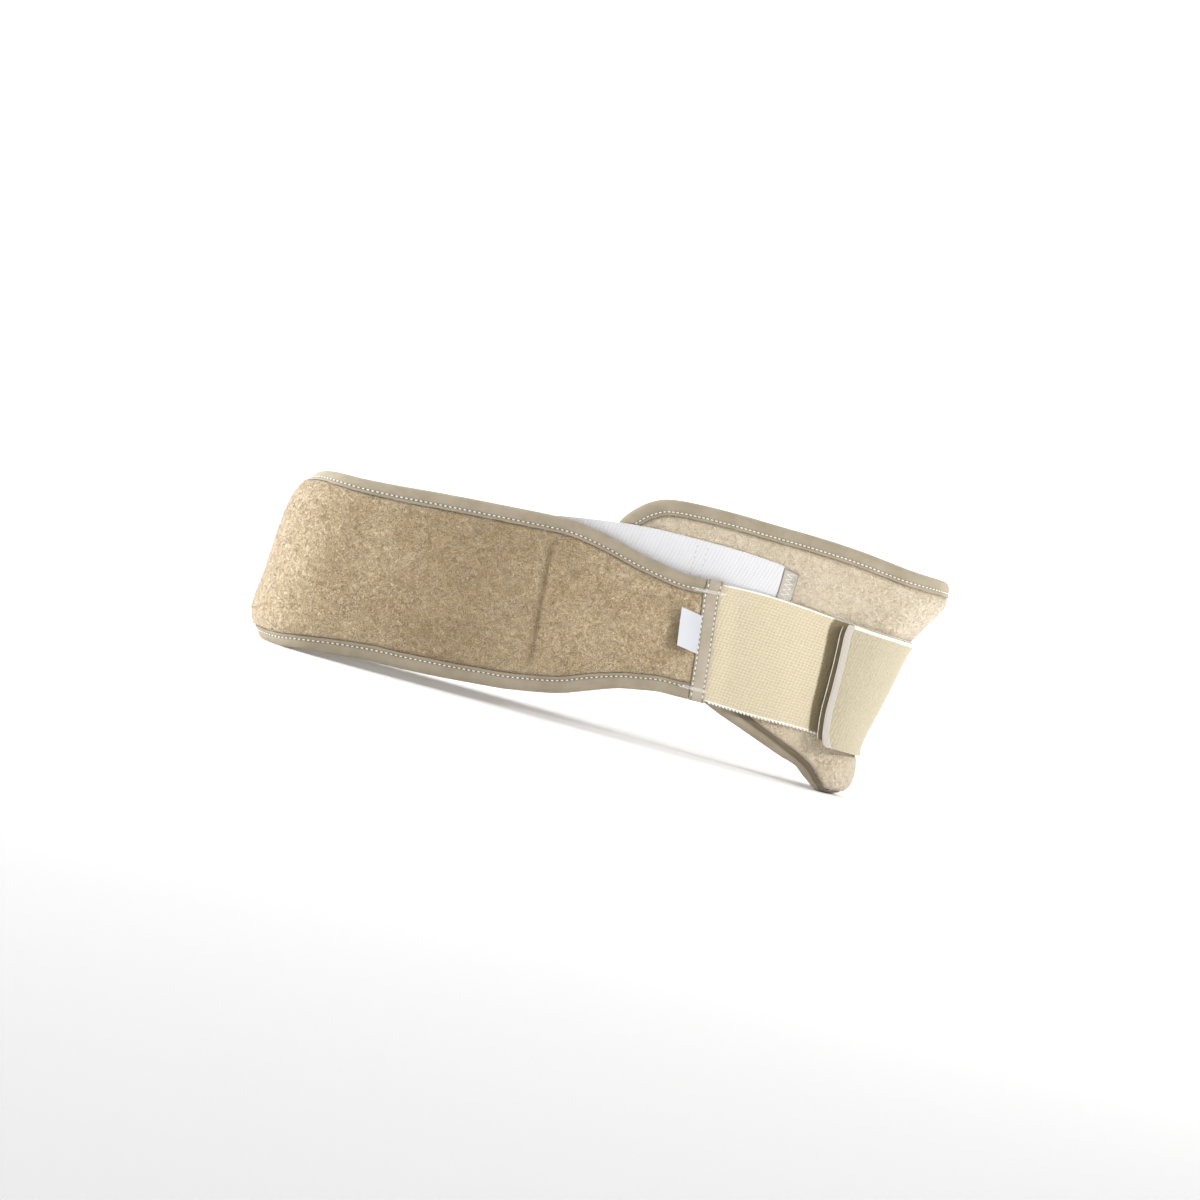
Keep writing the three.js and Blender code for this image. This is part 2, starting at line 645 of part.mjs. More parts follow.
function panelSolid() {
  const half = rowSteps.length;
  const count = panelLoop.length;
  const stations = [];
  const tops = panelLoop.slice(0, 2 * half - 1);
  const bottoms = [];
  for (let i = 0; i < 2 * half - 1; i += 1) bottoms.push(panelLoop[count - 1 - i]);
  for (let i = 0; i < tops.length; i += 1) {
    const t = tops[i];
    const b = bottoms[i];
    const from = { x: b.along + b.inX * edgeInset, z: b.flat + b.inZ * edgeInset };
    const to = { x: t.along + t.inX * edgeInset, z: t.flat + t.inZ * edgeInset };
    const length = Math.hypot(to.x - from.x, to.z - from.z);
    const low = stepsInward(from, to, lowDistances);
    const high = stepsInward(to, from, highDistances).map((d) => length - d).reverse();
    const lowEnd = low[low.length - 1];
    const depths = [...low, ...middleShares.map((share) => mix(lowEnd, high[0], share)), ...high];
    const outer = [];
    const inner = [];
    for (const depth of depths) {
      const x = mix(from.x, to.x, depth / length);
      const z = mix(from.z, to.z, depth / length);
      const out = padThickness(distanceToEdge(x, z), padHalf);
      const bound = out <= pinchHalf + 0.1;
      const least = bound ? underTape : 0;
      outer.push(onFloor(panelPoint(x, z, out), least));
      inner.push(onFloor(panelPoint(x, z, (bound ? -0.6 : -0.9) * out), least));
    }
    stations.push({ outer, inner });
  }
  return railSolid(stations, false);
}
addPiece("belly_panel", panelSolid(), fleece);

function panelBinding() {
  const section = bindingSection(bindingHalf, tapeThickness);
  const stations = panelLoop.map((p) => {
    const place = (q) => panelPoint(p.along + p.inX * q.depth, p.flat + p.inZ * q.depth, q.out);
    return {
      outer: section.outer.map((q) => onFloor(place(q), 0)),
      inner: section.inner.map((q) => onFloor(place(q), tapeThickness)),
    };
  });
  return railSolid(stations, true);
}
addPiece("belly_panel_binding", panelBinding(), tape);

// Wide straps
// The joint with the back band at a height, and the free end beyond the centre front.
function jointAlong(height) {
  const low = bandHeight * bandBottomEdge[bandBottomEdge.length - 1].level;
  const high = bandHeight * bandTopEdge[bandTopEdge.length - 1].level;
  return mix(bandBottomRun, bandTopRun, (height - low) / (high - low));
}

function endAlong(across) {
  return halfLoop + strapEnd * tableValue(strapEndLine, "across", "beyond", across);
}

function underLayer(past) {
  const first = mix(bandLayer, strapOverTabLayer, ramp(0, strapDrop, past));
  return mix(first, underStrapLayer, ramp(tabRelease, tabClear, past));
}

function overLayer(past, fromEnd) {
  const first = mix(bandLayer, overStrapLayer, ramp(0, strapRise, past));
  return first + endLift * (1 - ramp(0, endLiftRun, fromEnd));
}

function strapPoint(side, share, across, out, over) {
  const edges = over ? overStrapEdges : underStrapEdges;
  const start = jointAlong(mix(0.33, 0.999, across) * strapTop) - strapTuck;
  const along = mix(start, endAlong(across), share);
  const low = strapTop * tableValue(edges, "along", "bottom", along / halfLoop);
  const high = strapTop * tableValue(edges, "along", "top", along / halfLoop);
  const past = along - start - strapTuck;
  const layer = over ? overLayer(past, endAlong(across) - along) : underLayer(past);
  return loopPoint(side, along, mix(low, high, across), layer + out);
}

const acrossSteps = [0, 0.03, 0.12, 0.31, 0.45, 0.58, 0.82, 1];
const shareSteps = [0, 0.025, 0.05, 0.08, 0.12, 0.17, 0.22, 0.26, 0.3, 0.34, 0.4, 0.46, 0.52, 0.56, 0.6,
  0.64, 0.68, 0.72, 0.76, 0.8, 0.84, 0.88, 0.92, 0.96];

function strapSolid(side, over) {
  const last = over ? 1 - (endTapeThickness + 2 * clearance) / 240 : 1;
  const fold = [...shareSteps, last];
  const stations = fold.map((share) => ({
    outer: acrossSteps.map((v) => strapPoint(side, share, v, strapHalf, over)),
    inner: acrossSteps.map((v) => strapPoint(side, share, v, -strapHalf, over)),
  }));
  return railSolid(stations, false);
}
addPiece("strap_right", strapSolid(-1, false), cream);
addPiece("strap_left", strapSolid(1, true), cream);

// A point at a distance back from the free end of the left strap.
function freeEndPoint(across, back, out) {
  const along = endAlong(across) - back;
  const low = strapTop * tableValue(overStrapEdges, "along", "bottom", along / halfLoop);
  const high = strapTop * tableValue(overStrapEdges, "along", "top", along / halfLoop);
  return loopPoint(1, along, mix(low, high, across), overLayer(strapRise, back) + out);
}

// Tape folded over the cut end of the left strap.
function endTape() {
  const inner = strapHalf + clearance + 0.15;
  const half = inner + endTapeThickness;
  const outerPath = [[endTapeWidth, half], [0.5, half], [0, 0.5 * half], [0, -0.5 * half],
    [0.5, -half], [endTapeWidth, -half]];
  const innerPath = [[endTapeWidth, inner], [1.2, inner], [endTapeThickness, 0.4 * half],
    [endTapeThickness, -0.4 * half], [1.2, -inner], [endTapeWidth, -inner]];
  const stations = acrossSteps.map((v) => ({
    outer: outerPath.map(([back, out]) => freeEndPoint(v, back, out)),
    inner: innerPath.map(([back, out]) => freeEndPoint(v, back, out)),
  }));
  return railSolid(stations, false);
}
addPiece("strap_left_end_tape", endTape(), paleGrey);

// Hook tape on the underside of the free end.
function hookTape() {
  const steps = [0.05, 0.12, 0.31, 0.58, 0.82, 0.96];
  const below = strapHalf + 2 * clearance + 0.2 + endTapeThickness + hookHalf;
  const stations = [-hookProud, 0, 5, 12, hookWidth - hookProud].map((back) => {
    const drop = back < 10 ? below : below - 0.4;
    return {
      outer: steps.map((v) => freeEndPoint(v, back, hookHalf - drop)),
      inner: steps.map((v) => freeEndPoint(v, back, -hookHalf - drop)),
    };
  });
  return railSolid(stations, false);
}
addPiece("strap_left_hook_tape", hookTape(), paleGrey);

// Narrow elastics and the tabs that hold them on the belly panel
function narrowPoint(side, share, across, out) {
  const start = narrowStart * halfLoop;
  const end = narrowEnd * halfLoop + narrowLean * (1 - across);
  const along = mix(start, end, share);
  const high = narrowTop * tableValue(narrowEdge, "along", "level", along / halfLoop);
  return loopPoint(side, along, high - narrowWidth * (1 - across), narrowLayer + out);
}

function narrowSolid(side) {
  const across = [0, 0.33, 0.67, 1];
  const shares = [0, 0.08, 0.16, 0.25, 0.33, 0.42, 0.5, 0.58, 0.67, 0.75, 0.83, 0.92, 1];
  const stations = shares.map((share) => ({
    outer: across.map((v) => narrowPoint(side, share, v, narrowHalf)),
    inner: across.map((v) => narrowPoint(side, share, v, -narrowHalf)),
  }));
  return railSolid(stations, false);
}

function tabSolid(side) {
  const across = [0, 0.33, 0.67, 1];
  const layer = narrowLayer - narrowHalf + tabHalf;
  const stations = [0, 0.5, 1].map((share) => {
    const put = (v, out) => {
      const drop = 1 + (narrowWidth - 2) * (1 - v);
      const along = narrowEnd * halfLoop + narrowLean * drop / narrowWidth + clearance + share * tabWidth;
      const high = narrowTop * tableValue(narrowEdge, "along", "level", along / halfLoop);
      return loopPoint(side, along, high - drop, layer + out);
    };
    return {
      outer: across.map((v) => put(v, tabHalf)),
      inner: across.map((v) => put(v, -tabHalf)),
    };
  });
  return railSolid(stations, false);
}
addPiece("narrow_elastic_right", narrowSolid(-1), white);
addPiece("narrow_elastic_left", narrowSolid(1), white);
addPiece("elastic_tab_right", tabSolid(-1), tape);
addPiece("elastic_tab_left", tabSolid(1), tape);

// Size label, sewn in along the joint tape of the right strap
function labelSolid() {
  const surface = bandLayer + bindingHalf + clearance + labelHalf;
  const stations = [0, 0.2, 0.4, 0.6, 0.8, 1].map((share) => {
    const put = (v, out) => {
      const height = labelHeight + labelWidth * (v - 0.5) + (1 - share) * 2.5;
      const along = jointAlong(height) - tapeWidth + labelLap - labelLength * (1 - share);
      const lift = labelLift * (0.3 * (1 - share) + 0.7 * (1 - share) ** 2);
      return loopPoint(-1, along, height, surface + lift + out);
    };
    return {
      outer: [0, 0.5, 1].map((v) => put(v, labelHalf)),
      inner: [0, 0.5, 1].map((v) => put(v, -labelHalf)),
    };
  });
  return railSolid(stations, false);
}
addPiece("size_label", labelSolid(), white);

export default belt;
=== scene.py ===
import math

import bpy
import numpy as np
from mathutils import Matrix, Vector, noise


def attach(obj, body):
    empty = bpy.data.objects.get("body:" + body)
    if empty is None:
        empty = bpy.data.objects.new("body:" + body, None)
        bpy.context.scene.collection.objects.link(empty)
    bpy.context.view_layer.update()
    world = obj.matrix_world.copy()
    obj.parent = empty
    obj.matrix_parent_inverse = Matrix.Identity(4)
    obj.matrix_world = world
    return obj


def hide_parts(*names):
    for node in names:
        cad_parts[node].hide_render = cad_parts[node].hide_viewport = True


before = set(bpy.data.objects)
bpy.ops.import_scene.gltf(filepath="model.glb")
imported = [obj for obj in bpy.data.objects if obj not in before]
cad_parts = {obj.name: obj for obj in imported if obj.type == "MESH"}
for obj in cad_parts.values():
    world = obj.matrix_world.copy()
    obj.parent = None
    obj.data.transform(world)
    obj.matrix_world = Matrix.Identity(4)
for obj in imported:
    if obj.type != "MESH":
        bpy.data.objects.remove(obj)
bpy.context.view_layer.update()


# Camera and studio
# A plain white floor and backdrop, a small bright light from the front right, large soft lights at
# the left, behind and above, and a camera level with the belt and turned a little on its side.
roll = math.radians(15.4)
camera_place = Vector((-0.0009, -1.6, 0.12))
camera_aim = Vector((-0.0009, 0, 0.0967))
away = (camera_place - camera_aim).normalized()
level_right = Vector((1, 0, 0))
level_up = away.cross(level_right)
right = math.cos(roll) * level_right + math.sin(roll) * level_up
up = math.cos(roll) * level_up - math.sin(roll) * level_right
bpy.ops.object.select_all(action="DESELECT")
bpy.ops.object.camera_add()
camera = bpy.context.object
camera.matrix_world = Matrix((
    (right.x, up.x, away.x, camera_place.x),
    (right.y, up.y, away.y, camera_place.y),
    (right.z, up.z, away.z, camera_place.z),
    (0, 0, 0, 1),
))
camera.data.lens = 62
camera.data.sensor_width = 36
bpy.context.scene.camera = camera
bpy.context.scene.view_settings.view_transform = "Standard"


def soft_light(name, place, aim, size, power, colour=(1, 1, 1)):
    bpy.ops.object.light_add(type="AREA", location=place)
    light = bpy.context.object
    light.name = name
    light.rotation_euler = (Vector(aim) - Vector(place)).to_track_quat("-Z", "Y").to_euler()
    light.data.shape = "RECTANGLE"
    light.data.size, light.data.size_y = size
    light.data.energy = power
    light.data.color = colour


soft_light("light_key", (0.75, -0.45, 0.42), (0.12, 0, 0.1), (0.12, 0.12), 4.75, (1, 0.99, 0.98))
soft_light("light_left", (-1.4, -0.15, 0.4), (-0.25, 0, 0.1), (0.5, 0.9), 30)
soft_light("light_back_right", (1.3, 0.8, 0.8), (0.2, 0, 0.1), (0.6, 1.0), 7)
soft_light("light_top", (0, 0.5, 1.9), (0, 0.2, 0), (2.2, 2.0), 13)
soft_light("light_floor", (-0.3, -1.25, 1.3), (-0.3, -1.2, 0), (2.2, 0.5), 3)
soft_light("light_backdrop", (0, 1.6, 2.4), (0, 3.4, 0.6), (3.5, 1.2), 75)

world = bpy.data.worlds.new("studio")
world.use_nodes = True
world.node_tree.nodes["Background"].inputs["Color"].default_value = (1, 1, 1, 1)
world.node_tree.nodes["Background"].inputs["Strength"].default_value = 0.37
bpy.context.scene.world = world


def srgb(red, green, blue):
    def linear(value):
        share = value / 255
        return share / 12.92 if share <= 0.04045 else ((share + 0.055) / 1.055) ** 2.4
    return (linear(red), linear(green), linear(blue), 1)


class Signal:
    """A socket of a material, so that its maths is written as Python sums."""

    def __init__(self, finish, socket):
        self.finish = finish
        self.socket = socket

    def sum(self, operation, *others):
        values = dict(enumerate((self, *others)))
        return self.finish.node("ShaderNodeMath", {"operation": operation}, values)

    def __add__(self, other):
        return self.sum("ADD", other)

    __radd__ = __add__

    def __sub__(self, other):
        return self.sum("SUBTRACT", other)

    def __rsub__(self, other):
        return self.finish.node("ShaderNodeMath", {"operation": "SUBTRACT"}, {0: other, 1: self})

    def __mul__(self, other):
        return self.sum("MULTIPLY", other)

    __rmul__ = __mul__

    def wave(self, pitch):
        """From 0 to 1 and back once in each pitch."""
        return (self * (2 * math.pi / pitch)).sum("SINE") * 0.5 + 0.5

    def rise(self, low, high):
        """From 0 at low to 1 at high."""
        return self.finish.node("ShaderNodeMapRange", {"clamp": True, "interpolation_type": "SMOOTHSTEP"},
                                {"Value": self, "From Min": low, "From Max": high})


class Finish:
    """A material: the values of its shader, and the nodes that drive it."""

    def __init__(self, name, values):
        self.material = bpy.data.materials.new(name)
        self.material.use_nodes = True
        self.tree = self.material.node_tree
        self.shader = self.tree.nodes["Principled BSDF"]
        for socket, value in values.items():
            self.shader.inputs[socket].default_value = value

    def node(self, kind, settings, sockets, out=0):
        made = self.tree.nodes.new(kind)
        for key, value in settings.items():
            setattr(made, key, value)
        for key, value in sockets.items():
            self.join(made.inputs[key], value)
        return Signal(self, made.outputs[out])

    def join(self, socket, value):
        if isinstance(value, Signal):
            self.tree.links.new(value.socket, socket)
        else:
            socket.default_value = value

    def drive(self, **sockets):
        for name, value in sockets.items():
            self.join(self.shader.inputs[name.replace("_", " ")], value)

    def cloth(self):
        """Along the cloth, across it and in from its nearest long edge, in metres."""
        vector = self.node("ShaderNodeAttribute", {"attribute_name": "cloth"}, {}, "Vector")
        return [self.node("ShaderNodeSeparateXYZ", {}, {"Vector": vector}, axis) for axis in "XYZ"]

    def shade(self):
        """From 0 to 1 where shade is painted into the cloth's colour, as along a seam."""
        return self.node("ShaderNodeAttribute", {"attribute_name": "shade"}, {}, "Fac")

    def noise(self, scale, detail=3.0, roughness=0.6, twist=0.0):
        place = self.node("ShaderNodeTexCoord", {}, {}, "Object")
        return self.node("ShaderNodeTexNoise", {}, {
            "Vector": place, "Scale": scale, "Detail": detail, "Roughness": roughness, "Distortion": twist})

    def blend(self, factor, first, second):
        return self.node("ShaderNodeMix", {"data_type": "RGBA"}, {0: factor, 6: first, 7: second}, 2)

    def bump(self, height, distance, strength=1.0):
        self.drive(Normal=self.node("ShaderNodeBump", {}, {
            "Strength": strength, "Distance": distance, "Height": height}))


bpy.ops.mesh.primitive_plane_add(size=9, location=(0, -1, 0))
sweep = bpy.context.object
sweep.name = "studio_sweep"
bpy.ops.object.mode_set(mode="EDIT")
bpy.ops.mesh.select_mode(type="EDGE")
bpy.ops.mesh.select_all(action="DESELECT")
bpy.ops.object.mode_set(mode="OBJECT")
for edge in sweep.data.edges:
    edge.select = all(sweep.data.vertices[i].co.y > 4 for i in edge.vertices)
bpy.ops.object.mode_set(mode="EDIT")
bpy.ops.mesh.extrude_region_move(TRANSFORM_OT_translate={"value": (0, 0, 5)})
bpy.ops.mesh.select_all(action="DESELECT")
bpy.ops.object.mode_set(mode="OBJECT")
for edge in sweep.data.edges:
    ends = [sweep.data.vertices[i].co for i in edge.vertices]
    edge.select = all(end.y > 4 and end.z < 0.1 for end in ends)
bpy.ops.object.mode_set(mode="EDIT")
bpy.ops.mesh.bevel(offset=2.2, segments=24)
bpy.ops.object.mode_set(mode="OBJECT")
bpy.ops.object.transform_apply()
bpy.ops.object.shade_smooth()
paper = Finish("sweep_paper", {"Base Color": (0.9, 0.9, 0.9, 1), "Roughness": 0.9})
paper.drive(Base_Color=paper.blend(paper.noise(3), (0.96, 0.96, 0.96, 1), (0.98, 0.98, 0.98, 1)))
sweep.data.materials.append(paper.material)


# Back band
# A band of thin foam with brushed fleece laminated to both faces, wide at the sides and narrower
# towards the two strap joints. It is bent round the back, where its edges curl inward.
MM = 0.001
half_length = 259.3
belt_height = 190
back_turn = 50
front_turn = 30
back_arc = 80
side_run = 397
front_arc = 46
side_bow = 5
loop_middle = -0.9
half_loop = back_arc + side_run + front_arc

pad_half = 3.5
fleece_proud = 0.6
pinch_half = 2.0
clearance = 0.35
tape_thickness = 1.1
tape_width = 12.5
binding_half = pinch_half + clearance + tape_thickness
cap_flat = 0.45
edge_inset = 1.6
under_tape = tape_thickness + clearance

band_layer = 5.75
band_height = 150
band_top_run = 353
band_bottom_run = 378.5
band_top_curl = 37
band_bottom_curl = 33
pad_setback = 6.2
binding_setback = 13.1
stitch_setback = 15.5

levels = {
    "level": (0, 0.1, 0.158, 0.2, 0.268, 0.386, 0.496, 0.587, 0.642, 0.684, 0.737, 0.8, 0.858, 1),
    "back": (0.958, 0.958, 0.957, 0.954, 0.949, 0.945, 0.939, 0.930, 0.928, 0.927, 0.926, 0.926,
             0.926, 0.926),
    "front": (0.870, 0.870, 0.863, 0.849, 0.854, 0.874, 0.890, 0.903, 0.913, 0.928, 0.951, 0.978,
              0.997, 1.003),
    "back_radius": (1, 1, 1, 0.99, 0.98, 0.96, 0.94, 0.92, 0.92, 0.92, 0.92, 0.92, 0.92, 0.92),
    "front_radius": (1, 1, 1, 1, 1, 1, 1, 1, 1.02, 1.03, 1.07, 1.13, 1.17, 1.2),
}
band_top = {
    "along": (0, 0.06, 0.11, 0.17, 0.213, 0.296, 0.379, 0.462, 0.544, 0.606, 0.658, 0.691, 0.725, 0.761,
              0.809, 0.857, 0.904, 0.948, 1),
    "level": (0.897, 0.905, 0.917, 0.921, 0.923, 0.938, 0.957, 0.973, 0.987, 0.997, 1.001, 0.992, 0.979,
              0.960, 0.933, 0.912, 0.895, 0.893, 0.902),
}
band_bottom = {
    "along": (0, 0.13, 0.174, 0.209, 0.269, 0.33, 0.391, 0.473, 0.553, 0.594, 0.673, 0.712, 0.749,
              0.786, 0.824, 0.863, 0.902, 0.943, 1),
    "level": (0, 0, 0.014, 0.026, 0.041, 0.051, 0.056, 0.069, 0.087, 0.097, 0.131, 0.155, 0.188,
              0.221, 0.25, 0.269, 0.285, 0.287, 0.289),
}
band_curl = {
    "along": (0, 0.12, 0.2, 0.28, 0.38, 0.5, 0.65, 0.85, 1),
    "degrees": (55, 50, 40, 29, 19, 12, 8, 5, 1.5),
}


def follow(table, key, column, x):
    """Smooth value of one column of a table at x in its key column."""
    xs = np.array(table[key], float)
    ys = np.array(table[column], float)
    x = np.clip(np.asarray(x, float), xs[0], xs[-1])
    ahead = np.minimum(np.arange(len(xs)) + 1, len(xs) - 1)
    behind = np.maximum(np.arange(len(xs)) - 1, 0)
    slope = (ys[ahead] - ys[behind]) / (xs[ahead] - xs[behind])
    i = np.clip(np.searchsorted(xs, x) - 1, 0, len(xs) - 2)
    step = xs[i + 1] - xs[i]
    t = (x - xs[i]) / step
    return ((2 * t**3 - 3 * t**2 + 1) * ys[i] + (t**3 - 2 * t**2 + t) * step * slope[i]
            + (3 * t**2 - 2 * t**3) * ys[i + 1] + (t**3 - t**2) * step * slope[i + 1])


def ramp(low, high, x):
    """From 0 at low to 1 at high, eased at both ends."""
    t = np.clip((np.asarray(x, float) - low) / (high - low), 0, 1)
    return t * t * (3 - 2 * t)


def rounded(distance, radius):
    """From 0 at an edge to 1 a radius in from it, along a quarter circle."""
    return np.sqrt(1 - (1 - np.clip(distance / radius, 0, 1)) ** 2)


def mix(a, b, t):
    return a + (b - a) * t


def graded(count, tight):
    """Shares from 0 to 1, closer together at both ends."""
    t = np.linspace(0, 1, count)
    return mix(t, 0.5 - 0.5 * np.cos(math.pi * t), tight)


def loop_point(side, along, height, layer):
    """A point of the closed loop, in millimetres. side is -1 on the wearer's right, 1 on the left."""
    along, height, layer = np.broadcast_arrays(*(np.asarray(v, float) for v in (along, height, layer)))
    turned = np.where((along < 0) | (along > half_loop), -side, side)
    s = np.abs(along)
    s = np.where(s > half_loop, 2 * half_loop - s, s)
    level = height / belt_height
    rb = back_turn * follow(levels, "level", "back_radius", level)
    rf = front_turn * follow(levels, "level", "front_radius", level)
    xb = rb - half_length * follow(levels, "level", "back", level)
    xf = half_length * follow(levels, "level", "front", level) - rf
    slant = np.arcsin((rb - rf) / (xf - xb))
    back_angle = s / back_arc * (math.pi / 2 + slant)
    front_angle = (half_loop - s) / front_arc * (math.pi / 2 - slant)
    q = np.clip((s - back_arc) / side_run, 0, 1)
    out = mix(rb, rf, q) + layer + side_bow * np.sin(math.pi * q) ** 2
    x = mix(xb, xf, q) + out * np.sin(slant)
    y = out * np.cos(slant)
    at_back = s < back_arc
    at_front = s > back_arc + side_run
    x = np.where(at_back, xb - (rb + layer) * np.cos(back_angle), x)
    y = np.where(at_back, (rb + layer) * np.sin(back_angle), y)
    x = np.where(at_front, xf + (rf + layer) * np.cos(front_angle), x)
    y = np.where(at_front, (rf + layer) * np.sin(front_angle), y)
    return np.stack([loop_middle + x, turned * y, height], axis=-1)


def curl_of(top, bottom, top_radius, bottom_radius, top_degrees, bottom_degrees):
    """Where the curls of a sheet start, and how high it would reach laid flat."""
    ta = np.radians(top_degrees)
    ba = np.radians(bottom_degrees)
    top_start = top - (top_radius + cap_flat * binding_half) * np.sin(ta)
    under = mix(cap_flat, 1, ramp(65, 90, bottom_degrees)) * binding_half
    bottom_start = bottom + (bottom_radius + under) * np.sin(np.minimum(ba, math.pi / 2))
    return {
        "top_start": top_start, "bottom_start": bottom_start,
        "top_radius": top_radius, "bottom_radius": bottom_radius,
        "flat_top": top_start + top_radius * ta,
        "flat_bottom": bottom_start - bottom_radius * ba,
    }


def curled_point(side, along, flat, out, layer, edges):
    """A point of a sheet whose edges curl inward, out from its middle."""
    e = edges(along)
    ta = np.maximum(flat - e["top_start"], 0) / e["top_radius"]
    ba = np.maximum(e["bottom_start"] - flat, 0) / e["bottom_radius"]
    height = np.clip(flat, e["bottom_start"], e["top_start"])
    height = height + np.where(ta > 0, (e["top_radius"] + out) * np.sin(ta), 0)
    height = height - np.where(ba > 0, (e["bottom_radius"] + out) * np.sin(ba), 0)
    depth = layer + out
    depth = np.where(ta > 0, layer - e["top_radius"] + (e["top_radius"] + out) * np.cos(ta), depth)
    depth = np.where(ba > 0, layer - e["bottom_radius"] + (e["bottom_radius"] + out) * np.cos(ba), depth)
    return loop_point(side, along, height, depth)


def band_edges(along):
    along = np.abs(along)
    degrees = follow(band_curl, "along", "degrees", along / ((band_top_run + band_bottom_run) / 2))
    return curl_of(
        band_height * follow(band_top, "along", "level", along / band_top_run),
        band_height * follow(band_bottom, "along", "level", along / band_bottom_run) - 0.5,
        band_top_curl, band_bottom_curl, degrees, degrees)


def band_place(share, back, depth, from_top=False):
    """Where a depth from the band's lower or upper edge lies on the band laid flat."""
    share, back, depth = np.broadcast_arrays(*(np.asarray(v, float) for v in (share, back, depth)))
    top = share * (band_top_run - back)
    bottom = share * (band_bottom_run - back)
    rise = band_edges(top)["flat_top"] - band_edges(bottom)["flat_bottom"]
    length = np.hypot(top - bottom, rise)
    t = 1 - depth / length if from_top else depth / length
    return mix(bottom, top, t), band_edges(bottom)["flat_bottom"] + rise * t, length


def pad_thickness(distance, full):
    """Half the thickness of the padding at a distance from its edge: pinched in the seam, then full."""
    opened = ramp(tape_width - 0.2, tape_width + 1.8, distance)
    puff = ramp(tape_width + 1, tape_width + 9, distance)
    return mix(mix(pinch_half - 0.1, full - 0.2, opened), full, puff) * ramp(-0.6, 2.6, distance)


def seam_shade(distance):
    """Painted shade where the fleece sinks under its binding."""
    return 0.5 * (1 - ramp(tape_width - 0.5, tape_width + 3.5, distance))


def lumps(points, size, seed):
    """Soft unevenness from -1 to 1, in patches of a size in millimetres."""
    flat = np.asarray(points).reshape(-1, 3) / size
    values = [noise.noise(Vector((p[0] + seed, p[1], p[2]))) for p in flat]
    return np.array(values).reshape(np.asarray(points).shape[:-1])


def on_floor(points, least=0.0):
    points[..., 2] = np.maximum(points[..., 2], least)
    return points


def new_piece(name, points, faces):
    """A mesh object of its own through points in millimetres, selected and active."""
    mesh = bpy.data.meshes.new(name)
    mesh.from_pydata((points * MM).tolist(), [], faces)
    piece = bpy.data.objects.new(name, mesh)
    bpy.context.collection.objects.link(piece)
    bpy.ops.object.select_all(action="DESELECT")
    piece.select_set(True)
    bpy.context.view_layer.objects.active = piece
    return piece


def shade_points(piece, values):
    piece.data.attributes.new("shade", "FLOAT", "POINT").data.foreach_set("value", np.ravel(values))


def skin(name, outer, inner, ring, cloth, shade=None):
    """A closed piece through stations of facing rows, in millimetres, with its cloth measures."""
    stations, m = outer.shape[:2]
    rows = np.concatenate([outer, inner[:, ::-1]], axis=1)
    measures = np.concatenate([cloth, cloth[:, ::-1]], axis=1)
    n = 2 * m
    i = np.arange(n)
    j = (i + 1) % n
    here = np.arange(stations if ring else stations - 1)[:, None] * n
    after = (here + n) % (stations * n)
    faces = np.stack([here + i, after + i, after + j, here + j], axis=-1).reshape(-1, 4)
    if not ring:
        k = np.arange(m - 1)
        cap = np.stack([k, k + 1, n - 2 - k, n - 1 - k], axis=-1)
        faces = np.concatenate([faces, cap, cap[:, ::-1] + (stations - 1) * n])
    points = rows.reshape(-1, 3)
    corners = points[faces]
    volume = sum(np.einsum("ij,ij->i", corners[:, 0], np.cross(corners[:, a], corners[:, a + 1])).sum()
                 for a in (1, 2))
    if volume < 0:
        faces = faces[:, ::-1]
    piece = new_piece(name, points, faces.tolist())
    piece.data.attributes.new("cloth", "FLOAT_VECTOR", "POINT").data.foreach_set(
        "vector", (measures * MM).ravel())
    if shade is not None:
        shade = np.broadcast_to(shade, outer.shape[:2])
        shade_points(piece, np.concatenate([shade, shade[:, ::-1]], axis=1))
    bpy.ops.object.shade_smooth_by_angle(angle=math.radians(50))
    return piece


def measures(along, across, width):
    """Cloth measures of a grid: along, across, and in from the nearest long edge."""
    along, across = np.broadcast_arrays(along, across)
    return np.stack([along, across, np.minimum(across, width - across)], axis=-1)


def dress(piece, finish, slot, *nodes):
    """Give a piece its finish and its body, and hide the nodes of the frame that it stands for. Its slot is
    not used.
    """
    piece.data.materials.append(finish.material)
    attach(piece, "root")
    if nodes:
        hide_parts(*nodes)


def fleece_finish(name, gap, middle, tip):
    """Brushed fleece, its colour keyed to its bump: painted shade between its curls, paler at their tips.
    """
    finish = Finish(name, {
        "Roughness": 0.95, "Sheen Weight": 1.0, "Sheen Roughness": 0.35,
        "Sheen Tint": srgb(255, 250, 242), "Specular IOR Level": 0.1})
    curls = finish.noise(620, 2, 0.6, twist=1.8)
    clumps = finish.noise(240, 2, 0.5, twist=0.8)
    patches = finish.noise(26, 2, 0.5)
    fine = finish.noise(1700, 2, 0.6)
    depth = curls * 0.65 + clumps * 0.22 + patches * 0.13
    base = finish.blend(depth.rise(0.38, 0.51), gap, middle)
    base = finish.blend(depth.rise(0.49, 0.62), base, tip)
    # Painted shade from the shade attribute, in seams, creases and cast shadows.
    base = finish.blend(finish.shade(), base, srgb(130, 108, 74))
    finish.drive(Base_Color=base, Roughness=0.88 + 0.12 * fine)
    finish.bump(curls * 0.9 + fine * 0.2 + clumps * 0.5, 0.0017, 1.0)
    return finish


